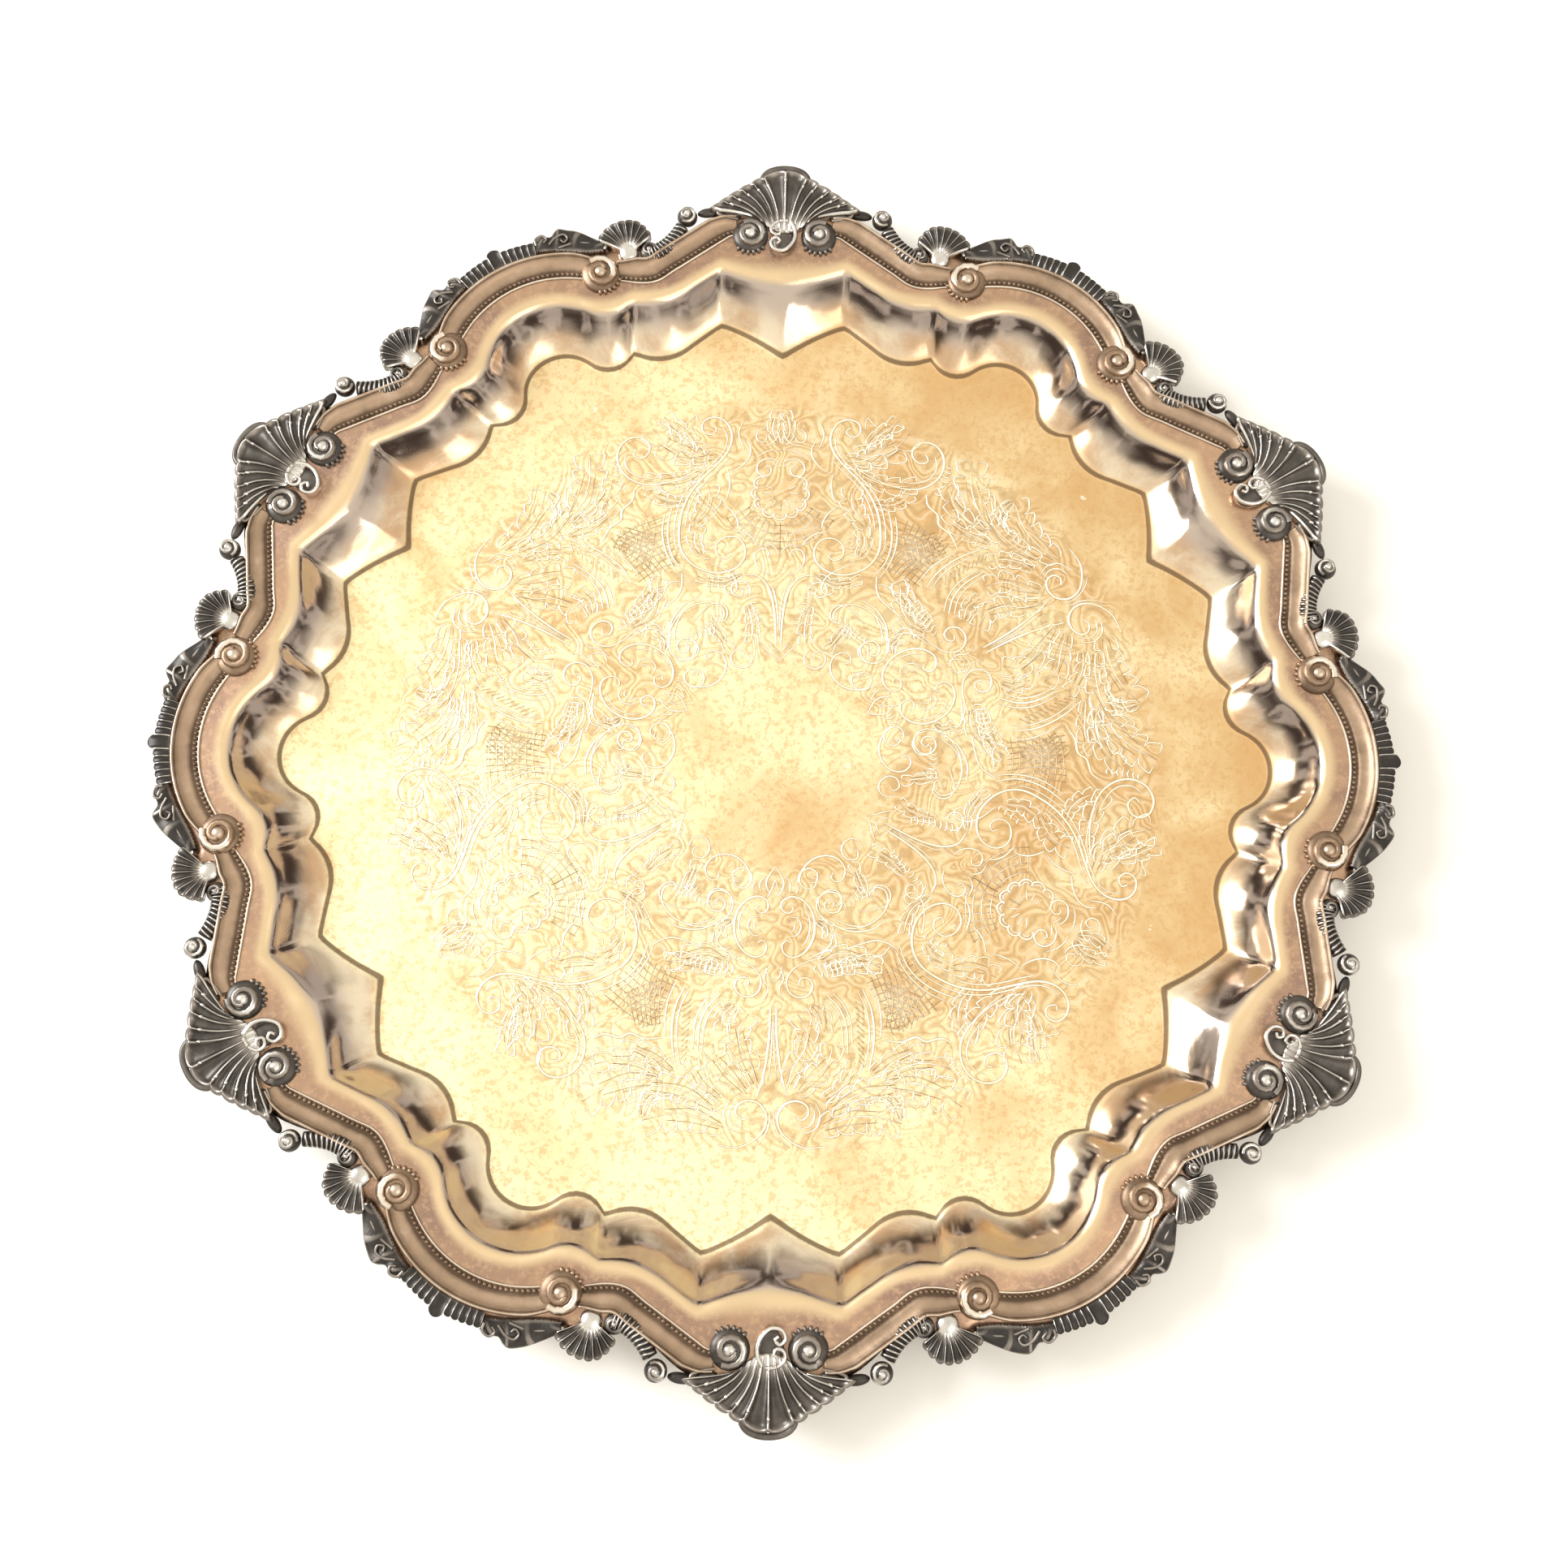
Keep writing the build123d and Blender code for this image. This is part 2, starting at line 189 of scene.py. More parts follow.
def cloud(tree, where, scale, detail=6.0, roughness=0.6, distortion=0.0):
    """Noise over the object's own place, in clouds of one size."""
    return add_node(tree, "ShaderNodeTexNoise", {
        "Vector": where, "Scale": scale, "Detail": detail, "Roughness": roughness,
        "Distortion": distortion}).outputs["Fac"]


def started_material(name):
    """An empty material, its shader and the object's own coordinates."""
    made = bpy.data.materials.new(name)
    made.use_nodes = True
    tree = made.node_tree
    shader = tree.nodes["Principled BSDF"]
    where = tree.nodes.new("ShaderNodeTexCoord").outputs["Object"]
    return made, tree, shader, where


def plated_sheet_material():
    """Silver plate: gold tarnish on the floor with painted shade on its side away from the window
    and painted light and shade in its chasing, a glossy wall, and a brown flange with a painted
    highlight on its shoulder.
    """
    made, tree, shader, where = started_material("plated_sheet_silver")
    height = add_node(tree, "ShaderNodeSeparateXYZ", {"Vector": where}).outputs
    on_wall = stepped(tree, height["Z"], (sheet + 0.15) * mm, (sheet + 1.6) * mm)
    on_flange = stepped(tree, height["Z"], (flange_top - 1.6) * mm, (flange_top - 0.2) * mm)
    broad = cloud(tree, where, 9.0, 3.0)
    patch = cloud(tree, where, 38.0, 8.0, 0.65, 0.6)
    grain = cloud(tree, where, 520.0, 5.0, 0.75)
    # Painted shade: the floor is painted browner towards the side away from the window, over its
    # real tarnish patches
    toward_shaded_side = add_node(tree, "ShaderNodeVectorMath", {0: where, 1: (0.86, 0.5, 0.0)},
                    operation="DOT_PRODUCT").outputs["Value"]
    side = stepped(tree, toward_shaded_side, -0.10, 0.16)
    warm = multiplied(tree, patch, 1.1, stepped(tree, broad, 0.3, 0.7, -0.42, -0.02))
    shade = multiplied(tree, side, 0.42, warm)
    floor_colour = mixed(tree, stepped(tree, shade, 0.10, 0.95),
                         (0.98, 0.88, 0.56, 1), (0.66, 0.43, 0.20, 1))
    speck = stepped(tree, grain, 0.47, 0.62)
    floor_colour = mixed(tree, stepped(tree, speck, 0.0, 1.0, 0.0, 0.5), floor_colour,
                         (0.62, 0.37, 0.15, 1))
    # The chasing fills a ring of the floor, and its ground curls between the main lines
    radius = add_node(tree, "ShaderNodeVectorMath", {0: where},
                      operation="LENGTH").outputs["Value"]
    chased = mixed(tree, stepped(tree, radius, 0.113, 0.119),
                   stepped(tree, radius, 0.029, 0.035), 0.0)
    turns = multiplied(tree, cloud(tree, where, 84.0, 1.2, 0.5, 0.6), 62.0)
    scrolls = add_node(tree, "ShaderNodeMath", {0: turns}, operation="SINE").outputs[0]
    # Painted light and shade: along the curls, brown lines are painted shade and pale lines are
    # painted light, as on the two edges of a chased groove
    painted_groove_shade = mixed(tree, chased, 0.0, stepped(tree, scrolls, -0.40, -0.85, 0.0, 0.36))
    painted_groove_light = mixed(tree, chased, 0.0, stepped(tree, scrolls, 0.60, 0.92, 0.0, 0.24))
    floor_colour = mixed(tree, painted_groove_shade, floor_colour, (0.42, 0.25, 0.10, 1))
    floor_colour = mixed(tree, painted_groove_light, floor_colour, (1.0, 0.93, 0.74, 1))
    flake = stepped(tree, cloud(tree, where, 75.0, 5.0, 0.55, 0.4), 0.70, 0.73)
    floor_colour = mixed(tree, stepped(tree, flake, 0, 1, 0, 0.8), floor_colour,
                         (0.97, 0.90, 0.72, 1))
    place_out = add_node(tree, "ShaderNodeAttribute", attribute_name="tone").outputs["Fac"]
    wall_colour = mixed(tree, stepped(tree, patch, 0.36, 0.62), (0.90, 0.78, 0.60, 1),
                        (0.66, 0.44, 0.27, 1))
    wall_colour = mixed(tree, stepped(tree, place_out, 0.38, 0.70), wall_colour,
                        (0.62, 0.52, 0.45, 1))
    # A dark line lies along the wall's foot
    foot = mixed(tree, stepped(tree, height["Z"], (sheet + 0.45) * mm, (sheet + 0.85) * mm),
                 stepped(tree, height["Z"], (sheet + 0.05) * mm, (sheet + 0.22) * mm), 0.0)
    flange_colour = mixed(tree, stepped(tree, patch, 0.3, 0.7), (0.60, 0.39, 0.255, 1),
                          (0.33, 0.215, 0.165, 1))
    flange_colour = mixed(tree, stepped(tree, speck, 0, 1, 0, 0.35), flange_colour,
                          (0.78, 0.52, 0.33, 1))
    # Painted highlight: the rounded shoulder where the flange meets the wall is painted pale gold
    flange_colour = mixed(tree, stepped(tree, place_out, 0.98, 1.15), (0.84, 0.64, 0.40, 1),
                          flange_colour)
    colour = mixed(tree, on_flange, mixed(tree, on_wall, floor_colour, wall_colour),
                   flange_colour)
    colour = mixed(tree, stepped(tree, foot, 0.0, 1.0, 0.0, 0.85), colour, (0.14, 0.08, 0.04, 1))
    tree.links.new(colour, shader.inputs["Base Color"])
    floor_rough = mixed(tree, flake, stepped(tree, patch, 0.3, 0.7, 0.46, 0.6), 0.3)
    wall_rough = stepped(tree, place_out, 0.25, 0.6, 0.24, 0.09)
    flange_rough = stepped(tree, patch, 0.3, 0.7, 0.24, 0.42)
    rough = mixed(tree, on_flange, mixed(tree, on_wall, floor_rough, wall_rough),
                  flange_rough)
    tree.links.new(rough, shader.inputs["Roughness"])
    tree.links.new(mixed(tree, on_wall, 0.72, 1.0), shader.inputs["Metallic"])
    dents = cloud(tree, where, 45.0, 2.0)
    bump = add_node(tree, "ShaderNodeBump", {
        "Strength": mixed(tree, on_wall, 0.25, 0.8), "Distance": 0.0012, "Height": dents})
    fine = add_node(tree, "ShaderNodeBump", {
        "Strength": mixed(tree, chased, 0.10, 0.35), "Distance": 0.0002,
        "Height": mixed(tree, mixed(tree, chased, 0.0, 0.7), grain, scrolls),
        "Normal": bump.outputs["Normal"]})
    tree.links.new(fine.outputs["Normal"], shader.inputs["Normal"])
    return made


tray_rings = [(0.0, sheet, step) for step in floor_steps]
tray_rings += [(blend, sheet + rise * well_depth, 1.0) for blend, rise in wall_section]
tray_outlines = [[(step * p.x, step * p.y, z) for p in wall_ring(blend)]
                 for blend, z, step in tray_rings]
brink = tray_outlines[-1]
for step in flange_steps:
    outline = []
    for x, y, _ in brink:
        edge = flange_radius(atan2(x, y) * 180 / pi) / hypot(x, y)
        grown = 1 + step * (edge - 1)
        outline.append((x * grown, y * grown, flange_top))
    tray_outlines.append(outline)


def tray_place(around, out):
    """A point of the tray's upper face."""
    outline = tray_outlines[round(out * (len(tray_outlines) - 1))]
    x, y, z = outline[round(around * len(outline)) % len(outline)]
    return (x * mm, y * mm, z * mm)


def tray_tone(around, out):
    """How far out a point lies: 0 on the floor, up the wall to 1, and out to 2 at the edge."""
    ring = round(out * (len(tray_outlines) - 1))
    if ring < len(floor_steps):
        return 0.0
    if ring < len(tray_rings):
        return tray_rings[ring][0]
    return 1.0 + flange_steps[ring - len(tray_rings)]


tray = laid_grid(len(brink), len(tray_outlines) - 1, tray_place, tray_tone)
bmesh.ops.remove_doubles(tray, verts=tray.verts, dist=1e-6)
for _ in range(2):
    bmesh.ops.smooth_vert(tray, verts=[v for v in tray.verts if not v.is_boundary],
                          factor=0.35, use_axis_x=True, use_axis_y=True)
bmesh.ops.recalc_face_normals(tray, faces=tray.faces)
if sum(face.normal.z for face in tray.faces) < 0:
    bmesh.ops.reverse_faces(tray, faces=tray.faces)
bmesh.ops.solidify(tray, geom=tray.faces[:], thickness=sheet * mm)


def finished(built, name, material, nodes=()):
    """The built mesh as a piece that rides on the salver and stands for its CAD nodes."""
    mesh = built
    if isinstance(built, bmesh.types.BMesh):
        mesh = bpy.data.meshes.new(name)
        built.to_mesh(mesh)
        built.free()
    mesh.name = name
    mesh.shade_smooth()
    mesh.materials.clear()
    mesh.materials.append(material)
    piece = bpy.data.objects.new(name, mesh)
    bpy.context.scene.collection.objects.link(piece)
    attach(piece, "root")
    if nodes:
        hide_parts(*nodes)
    return piece


plated_sheet = plated_sheet_material()
finished(tray, "tray_sheet", plated_sheet, ["tray_body"])

# ---------------------------------------------------------------------------------------
# Flat chasing on the floor: scrolls, acanthus, a shell and trellis, punched from above into
# the plate in fine lines, drawn as low wires whose pale crests are partly polished metal and
# partly a painted highlight, with painted shade along their feet. The pattern repeats three
# times, and each part is mirror-symmetric about a line through a shell.
# ---------------------------------------------------------------------------------------
line_rise = 0.15
line_radius = 0.28
line_swell = 1.45
line_sides = 1
chased_repeats = 3


def smooth_line(points, steps=5):
    """Points along a smooth line through all the given ones."""
    points = [Vector(p) for p in points]
    ends = [2 * points[0] - points[1]] + points + [2 * points[-1] - points[-2]]
    line = []
    for a, b, c, d in zip(ends, ends[1:], ends[2:], ends[3:]):
        for step in range(steps):
            t = step / steps
            line.append(0.5 * (2 * b + (c - a) * t + (2 * a - 5 * b + 4 * c - d) * t * t
                               + (3 * b - a - 3 * c + d) * t * t * t))
    line.append(points[-1])
    return line


def wire_mesh(lines, sides):
    """Round wires along lines of points, each point with its own radius."""
    curve = bpy.data.curves.new("wire", "CURVE")
    curve.dimensions = "3D"
    curve.bevel_depth = 1.0
    curve.bevel_resolution = sides
    curve.use_fill_caps = True
    for line in lines:
        spline = curve.splines.new("POLY")
        spline.points.add(len(line) - 1)
        for point, (place, radius) in zip(spline.points, line):
            point.co = (*place, 1.0)
            point.radius = radius
    drawn = bpy.data.objects.new("wire", curve)
    mesh = bpy.data.meshes.new_from_object(drawn)
    bpy.data.objects.remove(drawn)
    bpy.data.curves.remove(curve)
    return mesh


def stroke(width, points):
    """A chased line that swells from a fine start and fades at its end."""
    line = smooth_line(points)
    last = len(line) - 1
    half = width / 2 * line_swell
    return [((p.x, p.y, 0.0), half * (0.35 + 0.65 * sin(pi * min(1, 0.12 + 0.8 * k / last))))
            for k, p in enumerate(line)]


def acanthus(spine, width, lobes):
    """A leaf: its mid vein, and on each side pointed lobes with a vein in each."""
    vein = smooth_line(spine, 6)
    count = len(vein) - 1
    drawn = [stroke(0.34, spine)]

    def beside(part, out, forward=0.0):
        step = min(count - 1, max(0, int(part * count)))
        along = (vein[step + 1] - vein[step]).normalized()
        place = vein[step].lerp(vein[step + 1], part * count - step)
        return place + Vector((-along.y, along.x)) * out + along * forward

    lobes = max(3, round(0.72 * lobes))
    pitch = (vein[-1] - vein[0]).length / lobes
    for hand in (1, -1):
        for lobe in range(lobes):
            low, high = lobe / lobes, (lobe + 1) / lobes
            swell = width * (0.55 + 0.5 * sin(pi * (0.15 + 0.7 * low))) * hand
            drawn.append(stroke(0.40, [
                beside(low, 0.40 * swell), beside(low + 0.25 / lobes, 0.84 * swell),
                beside(low + 0.62 / lobes, 1.05 * swell, 0.28 * pitch),
                beside(low + 0.84 / lobes, 0.80 * swell, 0.16 * pitch),
                beside(high, 0.40 * swell)]))
        drawn.append(stroke(0.22, [beside(0.05, 0.2 * width * hand),
                                   beside(0.4, 0.42 * width * hand),
                                   beside(0.75, 0.34 * width * hand)]))
    return drawn


def curled_ribs(first, last, count, bow, length):
    """A row of short curved ribs, stepping from one place to another."""
    first, last = Vector(first), Vector(last)
    along = (last - first).normalized()
    out = Vector((-along.y, along.x))
    drawn = []
    for step in range(count):
        base = first.lerp(last, step / (count - 1))
        size = length * (0.75 + 0.25 * sin(pi * step / (count - 1)))
        drawn.append(stroke(0.40, [base, base + out * 0.5 * size + along * bow,
                                   base + out * size]))
    return drawn


def ring_arc(centre, radius, start, end, steps=8):
    """Points on an arc, with angles counter-clockwise from the right."""
    return [(centre[0] + radius * cos(radians(start + (end - start) * k / steps)),
             centre[1] + radius * sin(radians(start + (end - start) * k / steps)))
            for k in range(steps + 1)]


# The shell medallion, drawn with the salver's centre below it; right half, then mirrored
medallion = [
    stroke(0.62, [(21.8, 109.2), (20.6, 107.8), (22.4, 106.1), (24.9, 107.3), (24.7, 110.4),
                  (21.7, 112.0), (18.2, 111.0), (16.0, 107.8), (15.7, 103.8), (17.4, 99.6),
                  (21.0, 95.3), (25.0, 91.0), (28.5, 86.0), (30.8, 80.0), (31.5, 74.0),
                  (31.0, 68.4), (28.4, 64.0), (24.2, 61.2), (19.0, 60.2), (14.2, 61.6),
                  (11.2, 64.8), (10.9, 68.8), (13.3, 71.8), (17.0, 72.0), (19.8, 69.6),
                  (19.5, 66.2), (16.9, 64.9), (15.3, 66.3), (16.5, 67.6)]),
    stroke(0.40, [(18.4, 108.4), (17.1, 105.2), (17.8, 101.4), (20.4, 97.5), (24.2, 93.6),
                  (28.2, 89.1), (31.4, 83.4), (32.9, 76.6), (32.7, 69.8), (30.4, 64.6)]),
    stroke(0.40, [(16.0, 98.6), (19.2, 94.8), (23.0, 91.0), (26.6, 86.2), (28.9, 80.4),
                  (29.8, 74.4)]),
    stroke(0.50, [(34.0, 81.5), (35.0, 75.5), (34.7, 69.6), (32.8, 64.2), (29.0, 59.6)]),
    stroke(0.42, [(36.2, 79.6), (36.7, 73.4), (35.7, 67.6), (33.4, 62.6), (30.6, 58.8)]),
    stroke(0.50, [(17.8, 82.8), (15.0, 80.4), (13.5, 77.8), (13.0, 75.2)]),
    stroke(0.50, [(14.8, 74.5), (10.8, 73.4), (8.4, 71.6), (7.1, 69.6)]),
    stroke(0.42, [(17.3, 84.0), (16.2, 87.2), (16.0, 91.0), (16.8, 94.4)]),
    stroke(0.50, [(10.8, 104.4), (9.6, 101.6), (10.3, 98.4), (12.6, 95.6), (15.6, 93.6)]),
    stroke(0.46, [(4.5, 65.3), (3.3, 66.3), (4.2, 68.2), (6.6, 68.0), (7.8, 65.8),
                  (7.1, 63.0), (5.1, 60.8), (2.6, 59.8)]),
    stroke(0.40, [(5.6, 69.9), (3.0, 69.8), (1.2, 68.4), (0.3, 66.4)]),
    stroke(0.62, [(10.6, 59.9), (7.2, 59.6), (4.7, 57.7), (2.9, 54.6), (1.7, 50.0),
                  (1.1, 45.0), (0.9, 40.5), (0.8, 37.2)]),
    stroke(0.34, [(3.6, 58.4), (1.8, 55.0), (0.8, 50.8), (0.35, 46.0), (0.25, 40.0)]),
    stroke(0.40, [(5.4, 37.6), (3.6, 35.4), (2.0, 34.0), (0.0, 31.6)]),
    stroke(0.36, [(3.0, 38.2), (1.8, 36.2), (0.0, 34.8)]),
    stroke(0.50, [(12.3, 55.3), (11.2, 54.4), (12.0, 52.8), (14.0, 53.2), (14.9, 55.3),
                  (13.4, 57.4), (10.8, 57.4), (9.1, 55.6), (9.2, 53.0)]),
    stroke(0.46, [(9.4, 35.6), (8.0, 33.4), (8.6, 30.9), (11.1, 29.8), (13.7, 30.9),
                  (14.5, 33.5), (12.7, 35.6), (10.7, 34.5), (11.4, 33.0)]),
    stroke(0.50, [(0.5, 96.8), (1.9, 98.0), (4.4, 98.4), (6.9, 97.0), (7.5, 94.5),
                  (6.0, 92.6), (3.7, 92.9), (3.0, 94.8), (4.2, 96.0), (5.3, 95.1)]),
    stroke(0.36, [(0.4, 95.4), (1.8, 96.4), (3.4, 96.9)]),
    stroke(0.44, [(0.5, 108.4), (1.4, 105.4), (3.4, 103.4), (6.0, 102.6)]),
    stroke(0.40, [(5.8, 106.4), (4.6, 105.4), (5.6, 103.9), (7.5, 104.6), (7.7, 106.9),
                  (5.8, 108.6), (3.4, 108.2)]),
    stroke(0.36, [(0.0, 101.2), (3.0, 101.2), (6.0, 100.0), (8.6, 97.6)]),
    stroke(0.42, [(12.0, 110.8), (13.4, 107.6), (13.0, 104.4), (11.6, 101.4)]),
    stroke(0.36, [(26.6, 108.6), (27.1, 112.6), (29.0, 110.8), (30.6, 109.6), (32.6, 111.2)]),
]
for lobe in range(9):
    angle = -206 + lobe * 29
    middle = ring_arc((0, 87.0), 6.9, angle, angle + 1, 1)[0]
    if middle[0] > -1:
        medallion.append(stroke(0.52, ring_arc(middle, 2.15, angle - 96, angle + 96, 6)))
        medallion.append(stroke(0.34, ring_arc(middle, 1.2, angle - 80, angle + 80, 4)))
        medallion.append(stroke(0.34, [(0.35 * middle[0], 87 + 0.35 * (middle[1] - 87)),
                                       (0.86 * middle[0], 87 + 0.86 * (middle[1] - 87))]))
for radius in (11.4, 14.2, 16.8, 19.0):
    medallion.append(stroke(0.26, ring_arc((0, 87.5), radius, -90, -28, 8)))
for step in range(8):
    angle = -90 + step * 8.6
    medallion.append(stroke(0.24, [ring_arc((0, 87.5), r, angle, angle + 1, 1)[0]
                                   for r in (10.6, 14.0, 17.0, 19.6)]))
medallion += curled_ribs((9.2, 57.4), (4.4, 44.0), 9, -0.5, 3.0)
medallion += curled_ribs((21.0, 71.6), (21.8, 65.0), 4, 0.4, 2.6)
for spine, width, lobes in (
        ([(20.5, 98.5), (25.0, 98.0), (30.0, 100.4), (34.4, 105.0)], 3.6, 5),
        ([(24.5, 93.6), (30.0, 91.2), (36.0, 89.8), (43.0, 90.2)], 2.8, 6),
        ([(27.0, 76.0), (24.2, 80.0), (22.4, 84.0), (22.6, 88.8)], 3.4, 5),
        ([(24.5, 66.0), (26.6, 70.6), (25.6, 75.4)], 2.4, 4),
        ([(29.6, 84.0), (33.6, 83.4), (37.6, 84.6), (41.4, 87.4)], 2.2, 5),
        ([(9.8, 50.0), (8.6, 46.4), (8.0, 42.0), (8.4, 37.8)], 2.0, 5),
        ([(11.5, 60.0), (16.5, 57.6), (21.0, 57.6), (25.4, 59.0)], 1.6, 5),
        ([(0.9, 103.4), (2.6, 107.0), (2.4, 111.0), (1.2, 114.2)], 1.8, 4)):
    medallion += acanthus(spine, width, lobes)

# The bracket cartouche between two medallions, right half, then mirrored
cartouche = [
    stroke(0.60, [(5.0, 54.7), (3.6, 53.9), (2.3, 55.4), (3.0, 57.8), (5.7, 58.9), (9.0, 57.3),
                  (11.3, 53.8), (12.0, 49.6), (11.1, 45.3), (8.4, 41.9), (4.9, 40.8),
                  (2.3, 42.2), (2.1, 44.6), (4.0, 45.8), (5.5, 44.4), (4.5, 43.2)]),
    stroke(0.38, [(8.2, 55.8), (10.0, 52.8), (10.6, 49.5), (9.9, 46.0), (8.0, 43.3)]),
    stroke(0.44, [(4.4, 52.6), (6.6, 52.3), (7.9, 49.9), (6.9, 47.3), (4.6, 46.9)]),
    stroke(0.34, [(3.8, 51.4), (5.6, 50.9), (5.9, 48.8), (4.2, 48.0)]),
    stroke(0.46, [(0.0, 31.8), (1.4, 33.8), (2.6, 36.4), (2.2, 38.8), (1.0, 40.6)]),
    stroke(0.36, [(0.0, 35.6), (0.9, 38.4), (2.4, 41.2)]),
    stroke(0.40, [(3.0, 34.6), (4.6, 37.0), (4.2, 39.6)]),
    stroke(0.36, [(5.6, 36.0), (6.8, 38.2), (6.2, 40.2)]),
    stroke(0.56, [(8.5, 67.7), (7.4, 66.7), (8.2, 65.0), (10.5, 65.2), (11.5, 67.5),
                  (10.0, 70.0), (6.9, 70.6), (4.4, 68.8), (3.8, 65.6), (5.8, 62.2),
                  (10.0, 60.0), (15.0, 58.6)]),
    stroke(0.40, [(0.5, 61.0), (2.2, 62.8), (2.8, 65.4), (1.6, 68.2), (2.8, 71.4)]),
    stroke(0.36, [(0.0, 66.4), (1.8, 64.2), (2.4, 61.4)]),
    stroke(0.56, [(15.4, 69.6), (19.3, 73.6), (21.5, 79.0), (22.0, 86.8)]),
    stroke(0.42, [(14.4, 71.0), (18.2, 74.8), (20.2, 79.8), (20.7, 86.4)]),
    stroke(0.42, [(16.7, 68.6), (20.7, 72.8), (22.9, 78.6), (23.3, 86.2)]),
    stroke(0.56, [(26.2, 68.0), (28.6, 73.2), (29.6, 79.2), (29.4, 85.2), (28.2, 91.0)]),
    stroke(0.42, [(24.8, 68.6), (27.2, 73.6), (28.2, 79.2), (28.0, 85.0), (26.9, 90.4)]),
    stroke(0.42, [(28.8, 66.6), (31.0, 72.0), (31.7, 77.6), (31.5, 82.4)]),
    stroke(0.62, [(0.9, 73.4), (1.0, 80.0), (1.5, 86.2), (2.5, 92.6), (4.4, 99.6)]),
    stroke(0.34, [(0.3, 76.0), (0.3, 83.0), (0.6, 89.0), (1.4, 95.0)]),
    stroke(0.62, [(6.5, 105.2), (8.6, 106.0), (10.5, 104.4), (10.0, 101.9), (7.3, 100.6),
                  (3.9, 101.4), (1.7, 104.6), (2.2, 108.6), (5.4, 112.0), (9.9, 113.9),
                  (15.6, 113.4)]),
    stroke(0.36, [(0.5, 103.6), (0.8, 107.4), (2.6, 111.4), (5.4, 114.0)]),
    stroke(0.42, [(8.4, 108.6), (11.4, 107.2), (12.4, 104.2), (10.8, 101.0)]),
    stroke(0.42, [(9.0, 110.0), (12.8, 108.2), (14.0, 104.4), (12.2, 100.4)]),
    stroke(0.44, [(13.4, 44.6), (13.0, 41.6), (15.0, 39.0), (18.2, 38.8), (20.0, 41.2),
                  (18.6, 43.4), (16.6, 42.4)]),
    stroke(0.46, [(13.6, 46.6), (17.4, 49.2), (23.6, 50.0), (29.6, 47.8), (33.4, 43.4),
                  (33.2, 39.0), (30.2, 37.6), (28.2, 39.8), (29.8, 41.4)]),
    stroke(0.44, [(6.8, 36.6), (7.2, 34.0), (9.6, 32.2), (12.4, 33.4), (12.4, 36.0),
                  (10.4, 36.6)]),
    stroke(0.44, [(12.8, 56.0), (16.0, 56.8), (18.4, 54.6), (18.0, 51.8), (21.0, 52.6)]),
]
for step in range(11):
    low = 71.6 + 1.7 * step
    cartouche.append(stroke(0.22, [(24.0 + 0.12 * step, low), (26.8, low + 2.0)]))
for row in range(7):
    cartouche.append(stroke(0.22, [(32.6 + 1.9 * row, 64.6 + 0.9 * row),
                                   (33.6 + 1.5 * row, 71.0), (33.2 + 1.2 * row, 79.4)]))
    cartouche.append(stroke(0.22, [(32.4, 66.0 + 2.1 * row), (38.0, 67.6 + 2.0 * row),
                                   (43.4 - 0.9 * row, 70.0 + 1.7 * row)]))
cartouche += curled_ribs((20.5, 63.0), (12.6, 63.8), 6, 0.5, 3.8)
cartouche += curled_ribs((27.6, 41.0), (21.0, 44.2), 6, -0.5, 3.2)
for spine, width, lobes in (
        ([(4.4, 97.0), (6.0, 91.0), (9.2, 86.0), (10.0, 80.2), (7.2, 75.6)], 3.2, 7),
        ([(7.4, 98.6), (11.6, 94.0), (16.0, 90.0), (17.6, 84.4)], 3.4, 6),
        ([(14.8, 100.0), (19.2, 97.4), (22.4, 93.6), (24.0, 89.2)], 2.4, 5),
        ([(14.0, 108.4), (21.0, 105.6), (29.0, 104.6), (37.6, 106.6)], 4.6, 7),
        ([(16.4, 103.6), (24.0, 99.0), (33.0, 96.6), (43.4, 98.6)], 3.6, 8),
        ([(13.6, 60.4), (18.6, 57.6), (25.0, 58.2), (31.4, 61.6)], 2.6, 6),
        ([(11.4, 72.6), (14.6, 76.0), (15.0, 80.6)], 2.2, 4),
        ([(28.6, 92.6), (33.4, 89.4), (38.6, 86.4), (44.0, 86.4)], 2.6, 6)):
    cartouche += acanthus(spine, width, lobes)

